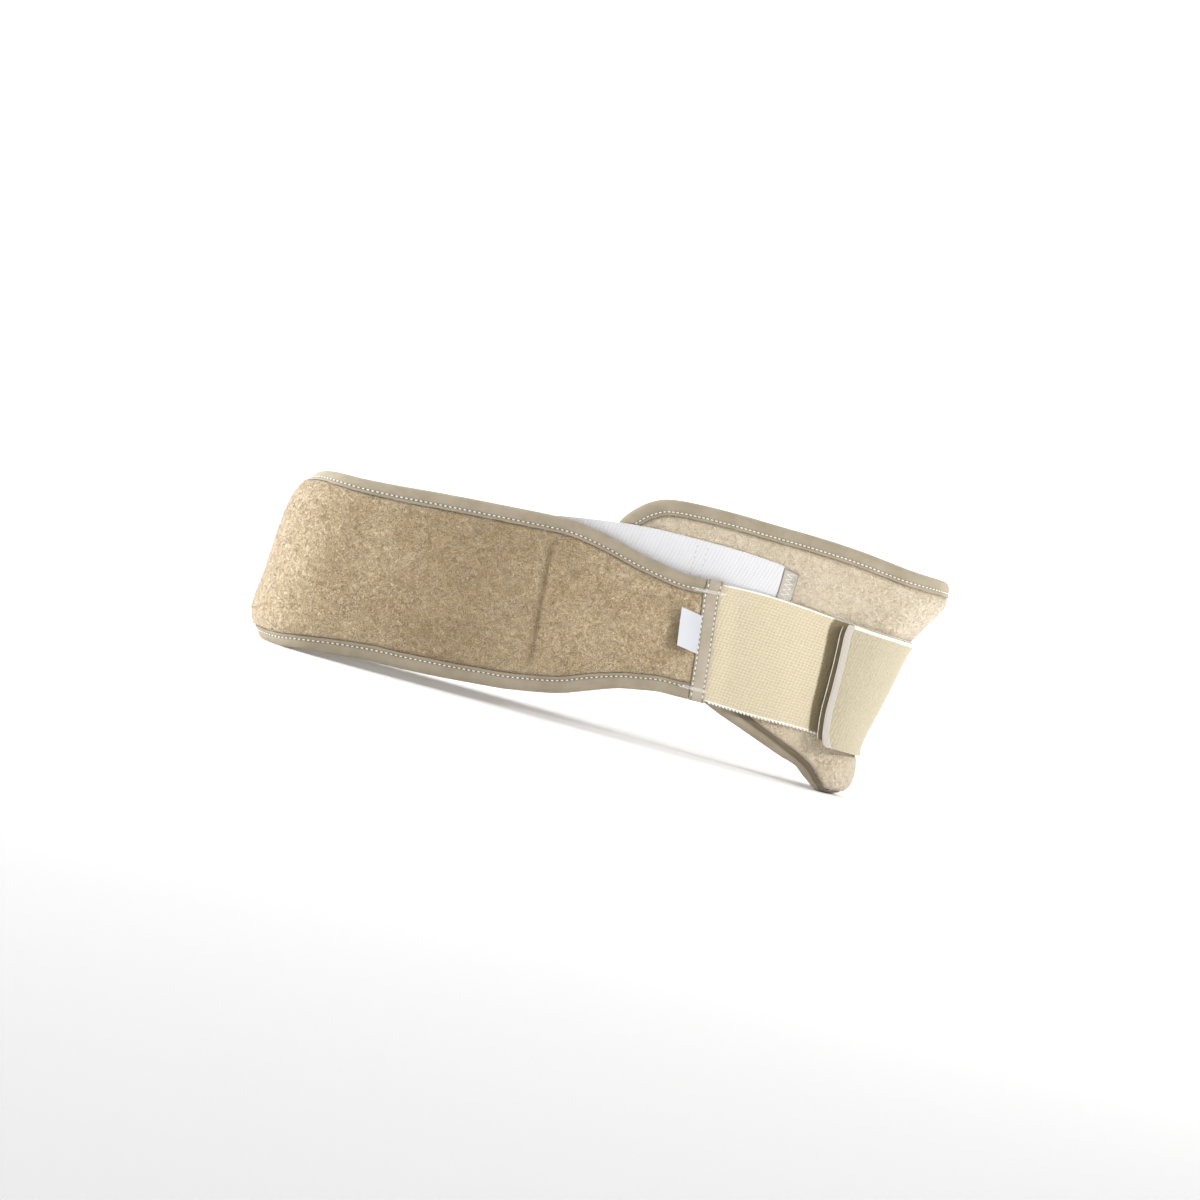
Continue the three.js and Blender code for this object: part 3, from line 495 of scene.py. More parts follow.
fleece = fleece_finish("beige_fleece", srgb(156, 134, 101), srgb(194, 172, 137), srgb(230, 213, 183))
band_shares = np.linspace(-1, 1, 471)[:, None]
band_t = graded(91, 0.45)[None, :]
_, _, band_length = band_place(band_shares, pad_setback, 0.0)
band_depth = edge_inset + band_t * (band_length - 2 * edge_inset)
pad_along, pad_flat, _ = band_place(band_shares, pad_setback, band_depth)
joint_gap = mix(band_bottom_run, band_top_run, band_depth / band_length) - np.abs(pad_along)
edge_gap = np.minimum(band_depth, band_length - band_depth)
pad_gap = np.minimum(edge_gap, joint_gap)
pressed = np.where(joint_gap < 8, 0.7, 1)
pad_out = pad_thickness(pad_gap, pad_half + fleece_proud) * pressed
inner_out = pad_thickness(pad_gap, pad_half) * pressed

# A soft crease runs down the fleece on the wearer's right, in front of the middle of the side, and shade is
# painted into it. Painted shade also darkens the middle of that side, and a painted shadow falls beside the
# label's free edge.
crease_along = 223
crease_height = 137
crease_line = crease_along + 0.18 * (crease_height - pad_flat)
crease = np.exp(-((pad_along - crease_line) / 2.6) ** 2) * ramp(14, 26, edge_gap)
fullness = ramp(tape_width, tape_width + 3, edge_gap)
painted_side_shade = 0.34 * np.exp(-((pad_along - 190) / 65) ** 2)
shaded = seam_shade(pad_gap)
past_label = pad_along - (338 - 0.28 * (pad_flat - 88))
painted_label_shadow = (0.5 * ramp(-9, -3, past_label) * (1 - ramp(6, 12, past_label))
               * ramp(70, 79, pad_flat) * (1 - ramp(92, 100, pad_flat)))


def band_point(along, flat, out, side=-1):
    return curled_point(side, along, flat, out, band_layer, band_edges)


rest = band_point(pad_along, pad_flat, pad_out)
uneven = 0.30 * lumps(rest, 22, 3) + 0.25 * lumps(rest, 6, 7) + 0.25 * lumps(rest, 3, 11)
pad_out = pad_out + (uneven - 1.3 * crease) * fullness
outer = on_floor(band_point(pad_along, pad_flat, pad_out), under_tape)
rest = band_point(pad_along, pad_flat, -inner_out)
uneven = 0.2 * lumps(rest, 22, 5) + 0.2 * lumps(rest, 6, 9)
inner = on_floor(band_point(pad_along, pad_flat, -inner_out + uneven * fullness), under_tape)
# Painted shade and shadow in the fleece's colour: middle of the side, seams, crease and label.
pad_shade = np.minimum(painted_side_shade + shaded + 0.4 * crease + painted_label_shadow, 1)
back_pad = skin("back_band_fleece", outer, inner, False, measures(pad_along, band_depth, band_length),
                pad_shade)
dress(back_pad, fleece, "fleece", "back_band")

fibre_sunk = 0.3
fibre_side = 0.17


def brushed(name, count, seed, point, along, flat, out, gap, shade, finish):
    """Brushed fibres over a fleece, as closed spikes in one piece that keep off its bindings."""
    rng = np.random.default_rng(seed)
    i = rng.integers(0, along.shape[0] - 1, count)
    j = rng.integers(0, along.shape[1] - 1, count)
    u, w = rng.random((2, count))

    def read(grid):
        return mix(mix(grid[i, j], grid[i + 1, j], u), mix(grid[i, j + 1], grid[i + 1, j + 1], u), w)
    kept = read(gap) > tape_width + 0.2
    a, f, o, dark = (read(grid)[kept] for grid in (along, flat, out, shade))
    turn = rng.uniform(0, 2 * math.pi, len(a))
    reach = rng.uniform(1.4, 3.2, len(a))
    run, rise = reach * np.cos(turn), reach * np.sin(turn)
    root = point(a, f, o - fibre_sunk)
    bend = point(a + 0.5 * run, f + 0.5 * rise, o + rng.uniform(0.3, 0.75, len(a)))
    tip = point(a + run, f + rise, o + rng.uniform(0, 0.6, len(a)))
    normal = point(a, f, o + 1) - point(a, f, o)
    aside = np.cross(normal, tip - root)
    aside *= fibre_side / np.linalg.norm(aside, axis=1)[:, None]
    points = np.stack([root, bend + aside, bend - aside, bend + 0.2 * normal, tip], axis=1).reshape(-1, 3)
    points[:, 2] = np.maximum(points[:, 2], under_tape)
    corners = np.array([(0, 1, 2), (0, 3, 1), (0, 2, 3), (4, 2, 1), (4, 1, 3), (4, 3, 2)])
    faces = (5 * np.arange(len(a))[:, None, None] + corners).reshape(-1, 3)
    piece = new_piece(name, points, faces.tolist())
    # The fibres carry the fleece's painted shade at 0.6 of its strength.
    shade_points(piece, np.repeat(0.6 * dark, 5))
    dress(piece, finish, "fleece")


brushed("back_band_pile", 30000, 5, band_point, pad_along, pad_flat, pad_out, pad_gap, pad_shade, fleece)


# Bindings of the back band
# Taupe knitted tape folded over the long edges and sewn through with one row of white lockstitch
# near its inner edges. The fold stands full over the padding and dips where the thread pulls it in.
def mirrored(*section):
    """Distances in from a tape's edge and out from its middle, over the fold and back on the far face."""
    near = np.array(section)
    return np.concatenate([near, near[::-1] * (1, -1)]).T[:, None, :]


fold_in, fold_out = mirrored(
    (12.5, 2.75), (12.3, 3.05), (11.6, 3.2), (10.7, 3.1), (10.0, 2.85), (9.6, 2.72), (9.2, 2.72),
    (8.8, 2.95), (8.0, 3.25), (6.8, 3.5), (5.4, 3.65), (4.0, 3.65), (2.8, 3.45), (1.8, 3.05), (0.9, 2.35),
    (0.3, 1.4), (0, 0.5))
lining_in, lining_out = mirrored(
    (12.5, 2.38), (12.3, 2.4), (11.6, 2.4), (10.7, 2.4), (10.0, 2.4), (9.6, 2.4), (9.2, 2.4),
    (8.8, 2.4), (8.0, 2.45), (6.8, 2.5), (5.4, 2.6), (4.0, 2.6), (2.9, 2.5), (2.2, 2.2), (1.7, 1.6),
    (1.3, 1.0), (1.2, 0.4))
fold_steps = (np.diff(row, prepend=row[:, :1]) for row in (fold_in, fold_out))
fold_run = np.cumsum(np.hypot(*fold_steps))[None, :]
stitch_depth = 9.4
# Painted shade in the stitch groove and along the tape's inner edge.
painted_groove_shade = 0.75 * np.exp(-((fold_in - stitch_depth) / 0.55) ** 2) + 0.8 * ramp(12.2, tape_width, fold_in)


def tape_finish(name, dull, clean):
    """Knitted binding tape with a fine diagonal grain, and painted shade in its seams."""
    finish = Finish(name, {
        "Roughness": 0.62, "Sheen Weight": 0.2, "Sheen Roughness": 0.4, "Specular IOR Level": 0.3})
    along, across, _ = finish.cloth()
    grain = (along + across).wave(0.00085) * (along - across).wave(0.00085)
    worn = finish.noise(60, 3, 0.6)
    tone = finish.blend(worn.rise(0.3, 0.7), dull, clean)
    tone = finish.blend(grain * 0.3, tone, srgb(130, 119, 98))
    # Painted shade from the shade attribute, in the stitch grooves and seams.
    tone = finish.blend(finish.shade(), tone, srgb(84, 72, 54))
    finish.drive(Base_Color=tone, Roughness=0.55 + 0.2 * worn)
    finish.bump(grain + 0.8 * worn, 0.00022, 0.7)
    return finish


tape = tape_finish("taupe_tape", srgb(156, 145, 124), srgb(170, 159, 139))
# A paler copy of the same tape finish, as painted light on the joint tapes.
painted_light_tape = tape_finish("painted_light_taupe_tape", srgb(174, 163, 145), srgb(188, 177, 160))


def folded(point, slack_seed, ripple_seed, low_ripple):
    """Outer and inner faces of a folded tape, its inner edges a little slack, its faces rippled."""
    slack = lumps(point(np.zeros((1, 1)), 0.0), 9, slack_seed)
    ripple = lumps(point(np.zeros((1, 1)), 0.0), 4, ripple_seed)
    width = np.where(fold_in > 9, 0.35 * slack, 0)
    raised = np.where(fold_in > 8.5, 0.12, low_ripple * (fold_in > 3)) * ripple
    outer = point(fold_in + width, fold_out + np.sign(fold_out) * raised)
    inner = point(lining_in + width, lining_out)
    return on_floor(outer), on_floor(inner, tape_thickness * 0.8)


def band_binding(name, from_top, node):
    share = np.linspace(-1, 1, 301)[:, None]

    def point(depth, out):
        along, flat, _ = band_place(share, binding_setback, depth, from_top)
        return band_point(along, flat, out)
    outer, inner = folded(point, 21 if from_top else 23, 25, 0.1)
    along, _, _ = band_place(share, binding_setback, 0.0, from_top)
    piece = skin(name, outer, inner, False, measures(along, fold_run, fold_run.max()), painted_groove_shade)
    dress(piece, tape, "binding_tape", node)


band_binding("back_band_top_tape", True, "back_band_top_binding")
band_binding("back_band_bottom_tape", False, "back_band_bottom_binding")

thread = Finish("white_thread", {"Roughness": 0.7, "Sheen Weight": 0.2, "Specular IOR Level": 0.3})
twist = thread.noise(2500, 2, 0.5)
thread.drive(Base_Color=thread.blend(twist, srgb(228, 224, 214), srgb(246, 244, 238)))
thread.bump(twist, 0.00008)

bpy.ops.object.select_all(action="DESELECT")
bpy.ops.mesh.primitive_uv_sphere_add(segments=6, ring_count=5, radius=1)
stitch_shape = bpy.context.object
stitch_points = np.array([tuple(v.co) for v in stitch_shape.data.vertices])
stitch_faces = [tuple(f.vertices) for f in stitch_shape.data.polygons]
bpy.data.objects.remove(stitch_shape)


def along_line(points, normals, pitch):
    """Even steps along a line of points: where each stitch lies, its direction and its normal."""
    run = np.concatenate([[0], np.cumsum(np.linalg.norm(np.diff(points, axis=0), axis=1))])
    count = max(int(run[-1] / pitch), 1)
    at = (np.arange(count) + 0.5) * run[-1] / count
    step = 0.4

    def read(values, where):
        return np.stack([np.interp(where, run, values[:, k]) for k in range(3)], axis=-1)
    heading = read(points, at + step) - read(points, at - step)
    heading /= np.linalg.norm(heading, axis=1)[:, None]
    normal = read(normals, at)
    normal /= np.linalg.norm(normal, axis=1)[:, None]
    return read(points, at), heading, normal


def sew(name, lines, finish, pitch, length, width, rise, lean=0.0):
    """Rows of stitches in one piece. Each line is points and normals, in millimetres."""
    points, faces = [], []
    for line, normals in lines:
        places, heading, normal = along_line(line, normals, pitch)
        aside = np.cross(normal, heading)
        ahead = heading + lean * aside
        ahead /= np.linalg.norm(ahead, axis=1)[:, None]
        aside = np.cross(normal, ahead)
        for p, h, a, n in zip(places, ahead, aside, normal):
            shift = len(points) * len(stitch_points)
            points.append(p + stitch_points[:, 2:] * h * length / 2 + stitch_points[:, :1] * a * width / 2
                          + stitch_points[:, 1:2] * n * rise)
            faces += [tuple(shift + i for i in f) for f in stitch_faces]
    piece = new_piece(name, np.concatenate(points), faces)
    bpy.ops.object.mode_set(mode="EDIT")
    bpy.ops.mesh.select_all(action="SELECT")
    bpy.ops.mesh.normals_make_consistent(inside=False)
    bpy.ops.object.mode_set(mode="OBJECT")
    bpy.ops.object.shade_smooth()
    dress(piece, finish, "white_elastic")


def surface_line(point, out):
    """A line on a surface and its outward normals, from point(out)."""
    sign = 1 if out >= 0 else -1
    line = point(out)
    return line, (point(out + sign) - line)


def band_line(from_top, out):
    share = np.linspace(-1, 1, 700)
    along, flat, _ = band_place(share, stitch_setback, stitch_depth, from_top)
    return surface_line(lambda o: band_point(along, flat, o), out)


sew("back_band_stitches", [band_line(top, out) for top in (True, False) for out in (2.95, -2.95)],
    thread, pitch=3.7, length=2.3, width=1.05, rise=0.5)


# Tapes over the strap joints
# A length of the same tape, given a paler copy of its finish as painted light, wrapped round each end of
# the back band, where the wide strap is tucked in. Two rows of white lockstitch hold it, with a dense bar
# tack at its top and bottom.
strap_half = 0.8
joint_seams = (10.8, 1.8)


def joint_half(back):
    """Half the thickness inside the tape, from the thin strap to the pinched padding."""
    return mix(strap_half + clearance + 0.15, pinch_half + clearance, np.clip(back / tape_width, 0, 1))


def joint_place(back, share):
    """Along and flat height of the tape at a distance back from the joint line, by share of its height."""
    top = band_top_run - back
    bottom = band_bottom_run - back
    low = band_edges(bottom)["flat_bottom"]
    high = band_edges(top)["flat_top"]
    return mix(bottom, top, share), mix(low, high, share), np.hypot(top - bottom, high - low)


def joint_tape(name, side, node):
    back = np.array([
        12.5, 12.3, 11.8, 11.3, 10.8, 10.3, 9.6, 7.8, 6.2, 4.6, 2.8, 2.3, 1.8, 1.3, 0.7, 0.2, 0.0])[None, :]
    plump = np.array([
        0.55, 0.85, 1.0, 0.9, 0.72, 0.9, 1.05, 1.12, 1.15, 1.1, 1.02, 0.88, 0.72, 0.88, 1.0, 0.85, 0.5])
    # Painted shade in the two stitch seams and along the tape's inner edge.
    painted_stitch_shade = sum(np.exp(-((back - seam) / 0.45) ** 2) for seam in joint_seams) + ramp(12.2, tape_width, back)
    half = joint_half(back)
    _, _, length = joint_place(back, 0.0)
    shares = np.linspace(0, 1, 45)
    rows = [(share, 1) for share in shares] + [(share, -1) for share in shares[::-1]]
    outer, inner = [], []
    for share, face in rows:
        edge = np.minimum(share, 1 - share) * length
        round_off = rounded(edge, 2.4)
        reach = (half + tape_thickness * plump) * mix(0.35, 1, round_off)
        along, flat, _ = joint_place(back, share)
        outer.append(band_point(along, flat, face * reach, side)[0])
        inset = np.clip(share * length, 1.15, length - 1.15) / length
        along, flat, _ = joint_place(back, inset)
        inner.append(band_point(along, flat, face * half * mix(0.3, 1, round_off), side)[0])
    run = np.linspace(0, 170, len(rows))[:, None]
    piece = skin(name, np.array(outer), np.array(inner), True, measures(run, back, tape_width),
                 np.minimum(0.7 * painted_stitch_shade, 1))
    dress(piece, painted_light_tape, "binding_tape", node)


joint_tape("joint_tape_near", -1, "joint_tape_right")
joint_tape("joint_tape_far", 1, "joint_tape_left")


def joint_line(side, back, share, out):
    """A line over a joint tape, along it or across it, on its outer face or its inner one."""
    along, flat, _ = joint_place(back, share)
    return surface_line(lambda o: band_point(along, flat, joint_half(back) * np.sign(o) + o, side), out)


sew("joint_stitches",
    [joint_line(side, back, np.linspace(0.03, 0.97, 60), out)
     for side in (-1, 1) for back in joint_seams for out in (0.9, -0.9)],
    thread, pitch=3.9, length=2.7, width=1.05, rise=0.5)

tack_threads = ((0.905, 22.5, -3.5), (0.892, 20, -2.0), (0.092, 20.5, -1.0), (0.105, 19, -0.5))
sew("joint_bar_tacks",
    [joint_line(side, np.linspace(start, stop, 30), share, 1.45)
     for side in (-1, 1) for share, start, stop in tack_threads],
    thread, pitch=1.75, length=2.6, width=0.75, rise=0.6, lean=0.6)


# Belly panel
# A padded panel of the same fleece on foam. Its upper edge is nearly level, and its lower edge drops
# to a rounded lobe under the belly, where it rolls inward.
panel_layer = -pad_half
panel_reach = 261
panel_height = 188
panel_top_curl = 21
panel_bottom_curl = 13
panel_rows = {
    "row": tuple(range(15)),
    "top_reach": (1.002, 0.999, 0.976, 0.935, 0.885, 0.801, 0.69, 0.575, 0.46, 0.341, 0.253, 0.192,
                  0.138, 0.069, 0),
    "top": (0.765, 0.839, 0.895, 0.948, 0.981, 0.994, 0.998, 0.996, 0.995, 0.988, 0.976, 0.967,
            0.964, 0.963, 0.963),
    "bottom_reach": (1.002, 0.998, 0.973, 0.931, 0.877, 0.793, 0.682, 0.556, 0.429, 0.322, 0.249, 0.199,
                     0.161, 0.084, 0),
    "bottom": (0.665, 0.596, 0.537, 0.479, 0.428, 0.372, 0.306, 0.231, 0.162, 0.109, 0.073, 0.027,
               0, -0.002, -0.002),
}
panel_curl = {
    "reach": (0, 0.1, 0.15, 0.2, 0.26, 0.32, 0.41, 0.53, 0.72, 1.01),
    "top": (40, 37, 32, 27, 21, 16, 11, 8, 6, 4),
    "bottom": (110, 110, 107, 98, 82, 66, 48, 30, 14, 4),
}
panel_by_reach = {column: values[::-1] for column, values in panel_rows.items()}


def edge_level(reach, edge):
    return follow(panel_by_reach, edge + "_reach", edge, reach)


def panel_edges(along):
    reach = np.abs(half_loop - along) / panel_reach
    return curl_of(panel_height * edge_level(reach, "top"), panel_height * edge_level(reach, "bottom"),
                   panel_top_curl, panel_bottom_curl,
                   follow(panel_curl, "reach", "top", reach), follow(panel_curl, "reach", "bottom", reach))


def panel_outline(row, edge):
    reach = follow(panel_rows, "row", edge + "_reach", row)
    level = follow(panel_rows, "row", edge, row)
    along = half_loop - reach * panel_reach
    flat = panel_edges(along)["flat_" + edge] + panel_height * (level - edge_level(reach, edge))
    return np.stack([along, flat], axis=-1)


def panel_point(along, flat, out):
    return curled_point(-1, along, flat, out, panel_layer, panel_edges)


def long_edge(edge):
    """One long edge of the flat panel, its far half the mirror of its near half."""
    steps = np.concatenate([np.arange(0, 4, 0.125), np.arange(4, 11, 0.25), np.arange(11, 14.01, 0.2)])
    steps[-1] = 14
    near = panel_outline(steps, edge)
    return np.concatenate([near, near[-2::-1] * (-1, 1) + (2 * half_loop, 0)])


tops, bottoms = long_edge("top"), long_edge("bottom")
outline = np.concatenate([tops, bottoms[::-1]])


def inward_of(points):
    run = np.roll(points, -1, axis=0) - np.roll(points, 1, axis=0)
    run /= np.linalg.norm(run, axis=1)[:, None]
    return np.stack([run[:, 1], -run[:, 0]], axis=-1)


outline_in = inward_of(outline)


def distance_to_edge(points):
    """Distance of points of the flat panel from its outline."""
    flat = points.reshape(-1, 2)
    best = np.full(len(flat), 1e9)
    for a, b in zip(outline, np.roll(outline, -1, axis=0)):
        run = b - a
        t = np.clip(((flat - a) @ run) / (run @ run), 0, 1)
        best = np.minimum(best, np.linalg.norm(flat - a - t[:, None] * run, axis=1))
    return best.reshape(points.shape[:-1])


station_count = len(tops)
top_in = outline_in[:station_count]
bottom_in = outline_in[station_count:][::-1]
low_end = bottoms + bottom_in * edge_inset
high_end = tops + top_in * edge_inset
places = mix(low_end[:, None, :], high_end[:, None, :], graded(77, 0.55)[None, :, None])
panel_along, panel_flat = np.moveaxis(places, -1, 0)
panel_gap = distance_to_edge(places)
panel_out = pad_thickness(panel_gap, pad_half)
least = np.where(panel_out <= pinch_half + 0.1, under_tape, 0)
full = ramp(tape_width, tape_width + 6, panel_gap)
rest = panel_point(panel_along, panel_flat, panel_out)
uneven = 0.25 * lumps(rest, 20, 33) + 0.2 * lumps(rest, 6, 35) + 0.14 * lumps(rest, 3, 37)
nap_out = panel_out + np.minimum(uneven, 0.1) * full
outer = on_floor(panel_point(panel_along, panel_flat, nap_out), least)
rest = panel_point(panel_along, panel_flat, -panel_out)
uneven = 0.25 * lumps(rest, 20, 41) + 0.25 * lumps(rest, 6, 43)
inner = on_floor(panel_point(panel_along, panel_flat, -0.85 * panel_out + uneven * full), least)
panel_shade = seam_shade(panel_gap)
belly_pad = skin("belly_panel_fleece", outer, inner, False,
                 np.stack([panel_along, panel_flat, panel_gap], axis=-1), panel_shade)
# A paler copy of the same fleece finish, as painted light on the belly panel.
painted_light_fleece = fleece_finish("painted_light_fleece", srgb(196, 179, 152), srgb(218, 203, 178), srgb(232, 221, 202))
dress(belly_pad, painted_light_fleece, "fleece", "belly_panel")
brushed("belly_panel_pile", 22000, 7, panel_point, panel_along, panel_flat, nap_out, panel_gap, panel_shade,
        painted_light_fleece)


# Binding of the belly panel
# The same folded tape in one closed ring round the whole panel, sewn with white lockstitch. Under
# the lobe the fleece hangs over the seam, so no stitches show there.
ring_at = outline[:, None, :]
ring_in = outline_in[:, None, :]
ring_run = np.concatenate([[0], np.cumsum(np.linalg.norm(np.diff(outline, axis=0), axis=1))])[:, None]


def ring_point(depth, out):
    place = ring_at + ring_in * np.asarray(depth)[..., None]
    return panel_point(place[..., 0], place[..., 1], out)


outer, inner = folded(ring_point, 51, 53, 0.12)
low_side = np.arange(len(outline)) >= station_count
hidden = np.where(low_side, 1 - ramp(0.42, 0.6, np.abs(half_loop - outline[:, 0]) / panel_reach), 0)
# Painted shade on the tape's inner half under the lobe, where the fleece hangs over the seam.
painted_overhang_shade = 0.7 * hidden[:, None] * ramp(7.6, 9.0, fold_in)
belly_binding = skin("belly_panel_tape", outer, inner, True, measures(ring_run, fold_run, fold_run.max()),
                     np.maximum(painted_groove_shade, painted_overhang_shade))
dress(belly_binding, tape, "binding_tape", "belly_panel_binding")


def ring_line(out):
    seam = outline + outline_in * stitch_depth
    first = int(np.argmax(hidden > 0.5))
    last = len(hidden) - int(np.argmax(hidden[::-1] > 0.5))
    seam = np.concatenate([seam[last:], seam[:first]])
    return surface_line(lambda o: panel_point(seam[:, 0], seam[:, 1], o), out)


sew("belly_panel_stitches", [ring_line(2.93), ring_line(-2.93)], thread,
    pitch=3.3, length=2.5, width=1.05, rise=0.5)


# Wide straps
# Cream elastic with a looped face for the hook tape, white selvages and a picot lower edge. The right
# strap lies under the left one, whose free end laps onto the near side and lifts a little.
under_strap_layer = 1.8
over_strap_layer = 4.4
strap_over_tab_layer = 3.7
strap_top = 134.5
strap_width = 90
end_tape_thickness = 0.65
strap_end = 47
strap_tuck = 5.4
end_lift = 5
end_lift_run = 40
under_edges = {
    "along": (0.670, 0.728, 0.790, 0.859, 1.0, 1.14),
    "top": (0.988, 0.997, 0.989, 0.970, 0.955, 0.955),
    "bottom": (0.336, 0.333, 0.325, 0.326, 0.316, 0.316),
}
over_edges = {
    "along": (0.670, 0.728, 0.859, 1.0, 1.07, 1.14),
    "top": (0.988, 0.997, 0.973, 0.945, 0.950, 0.963),
    "bottom": (0.336, 0.331, 0.307, 0.257, 0.262, 0.275),
}
end_line = {
    "across": (0, 0.03, 0.15, 0.31, 0.48, 0.65, 0.78, 0.91, 1),
    "beyond": (0.99, 1.01, 1.09, 1.19, 1.265, 1.335, 1.395, 1.455, 1.5),
}


def joint_along(height):
    low = band_height * band_bottom["level"][-1]
    high = band_height * band_top["level"][-1]
    return mix(band_bottom_run, band_top_run, (height - low) / (high - low))


def end_along(across):
    return half_loop + strap_end * follow(end_line, "across", "beyond", across)


def strap_height(edges, along, across):
    low, high = (strap_top * follow(edges, "along", edge, along / half_loop) for edge in ("bottom", "top"))
    return mix(low, high, across)


def strap_point(side, share, across, out, over):
    """A point of a strap, and how far it is along the loop."""
    start = joint_along(mix(0.33, 0.999, across) * strap_top) - strap_tuck
    along = mix(start, end_along(across), share)
    past = along - start - strap_tuck
    from_end = end_along(across) - along
    if over:
        layer = mix(band_layer, over_strap_layer, ramp(0, 30, past))
        layer = layer + end_lift * (1 - ramp(0, end_lift_run, from_end))
    else:
        layer = mix(band_layer, strap_over_tab_layer, ramp(0, 17, past))
        layer = mix(layer, under_strap_layer, ramp(57, 78, past))
    height = strap_height(over_edges if over else under_edges, along, across)
    return loop_point(side, along, height, layer + out), along


terry = Finish("cream_terry", {
    "Roughness": 0.9, "Sheen Weight": 0.3, "Sheen Roughness": 0.5,
    "Sheen Tint": srgb(255, 246, 222), "Specular IOR Level": 0.2})
along, across, inward = terry.cloth()
wander = terry.noise(220, 2, 0.5)
columns = (along + wander * 0.002).wave(0.0027)
loops = (across + wander * 0.002).wave(0.0023)
nap = columns * 0.5 + loops * 0.5
fuzz = terry.noise(900, 3, 0.6)
cream = terry.blend(nap.rise(0.1, 0.75), srgb(197, 184, 155), srgb(210, 198, 171))
cream = terry.blend(fuzz.rise(0.45, 0.75) * 0.5, cream, srgb(222, 212, 190))
selvage = 1 - inward.rise(0.0006, 0.0013)
cream = terry.blend(selvage, cream, srgb(245, 243, 238))
# Painted shadow of the left strap's lifted free end, with a ragged edge.
in_shade = (terry.shade() + fuzz * 0.5 - 0.25).rise(0.3, 0.75)
cream = terry.blend(in_shade * 0.85, cream, srgb(104, 90, 60))
terry.drive(Base_Color=cream, Roughness=0.8 + 0.2 * fuzz)
terry.bump(nap * (1 - selvage) * 0.8 + fuzz * 0.5, 0.0006, 0.75)

plush = Finish("cream_plush", {
    "Roughness": 0.92, "Sheen Weight": 0.35, "Sheen Roughness": 0.5,
    "Sheen Tint": srgb(255, 248, 226), "Specular IOR Level": 0.2})
along, across, _ = plush.cloth()
wander = plush.noise(170, 3, 0.6)
columns = (along + wander * 0.0016).wave(0.0022)
curls = plush.noise(620, 3, 0.65)
cream = plush.blend(curls.rise(0.3, 0.65), srgb(168, 158, 134), srgb(184, 175, 152))
cream = plush.blend(columns * 0.2, cream, srgb(192, 185, 167))
selvage = across.rise(0.0877, 0.0884)
cream = plush.blend(selvage, cream, srgb(228, 224, 214))
plush.drive(Base_Color=cream, Roughness=0.8 + 0.2 * curls)
plush.bump(curls * 0.9 + columns * 0.3, 0.0007, 0.75)


def strap(name, side, over, finish, node):
    last = 1 - (end_tape_thickness + 2 * clearance) / 240 if over else 1
    share = np.linspace(0, last, 150)[:, None]
    v = graded(48, 0.35)[None, :]
    half = strap_half * mix(0.45, 1, rounded(np.minimum(v, 1 - v) * strap_width, 1))
    rest, along = strap_point(side, share, v, 0.0, over)
    wavy = 0.18 * lumps(rest, 26, 61 + side) + 0.1 * lumps(rest, 8, 65)
    calm = ramp(8, 24, along - along[:1]) * ramp(2, 14, along[-1:] - along)
    outer = strap_point(side, share, v, half + np.clip(wavy, -0.1, 0.25) * calm, over)[0]
    inner = strap_point(side, share, v, -half + np.clip(wavy, -0.1, 0.05) * calm, over)[0]
    # The right strap's painted shadow: from under the left strap's free end to 14 mm behind its edge.
    behind_end = 2 * half_loop - end_along(np.clip(v + 0.05, 0, 1)) - along
    piece = skin(name, outer, inner, False, measures(along, v * strap_width, strap_width),
                 None if over else 1 - ramp(8.5, 14, behind_end))
    dress(piece, finish, "cream_elastic", node)
    return piece, rest


def cloth_sheet(piece, rest, **said):
    """Measure a strip of cloth's cut size, in metres, on its middle surface; the result is not kept."""
    lengths = np.linalg.norm(np.diff(rest, axis=0), axis=-1).sum(axis=0)
    widths = np.linalg.norm(np.diff(rest, axis=1), axis=-1).sum(axis=1)
    a = rest[1:, 1:] - rest[:-1, :-1]
    b = rest[1:, :-1] - rest[:-1, 1:]
    area = 0.5 * np.linalg.norm(np.cross(a, b), axis=-1).sum()
    width, length = widths.max() * MM, lengths.max() * MM
    min(area * MM * MM, width * length)


strap_right, rest_right = strap("strap_right_terry", -1, False, terry, "strap_right")
strap_left, rest_left = strap("strap_left_plush", 1, True, plush, "strap_left")


# Picot edge and selvage of the wide straps
# Small loops of white yarn stand out along the right strap's lower selvage, and a corded white yarn
# runs along the upper selvage of both.
yarn = Finish("white_yarn", {"Roughness": 0.8, "Sheen Weight": 0.3, "Specular IOR Level": 0.2})
strands = yarn.noise(1800, 2, 0.5)
yarn.drive(Base_Color=yarn.blend(strands, srgb(226, 220, 206), srgb(247, 244, 236)))
yarn.bump(strands, 0.0001)


def strap_edge(side, over, across, first, last):
    share = np.linspace(first, last, 260)
    return surface_line(lambda o: strap_point(side, share, across, o, over)[0], 0.0)


sew("strap_right_picots", [strap_edge(-1, False, -0.004, 0.04, 0.99)], yarn,
    pitch=2.8, length=3.0, width=1.6, rise=0.8, lean=-0.65)
sew("strap_right_selvage", [strap_edge(-1, False, 1.0, 0.04, 0.99)], yarn,
    pitch=1.7, length=2.5, width=0.7, rise=0.8, lean=0.3)
sew("strap_left_selvage", [strap_edge(1, True, 1.0, 0.04, 0.985)], yarn,
    pitch=1.7, length=2.6, width=1.5, rise=1.15, lean=0.3)


# Free end of the left strap
# A pale grey tape is folded over the cut end. Under it a band of hook tape shows as a thin edge.
end_length = 92
hook_width = 25
hook_proud = 3.5
hook_half = 0.5


def free_end(across, back, out):
    along = end_along(across) - back
    layer = over_strap_layer + end_lift * (1 - ramp(0, end_lift_run, back))
    return loop_point(1, along, strap_height(over_edges, along, across), layer + out)


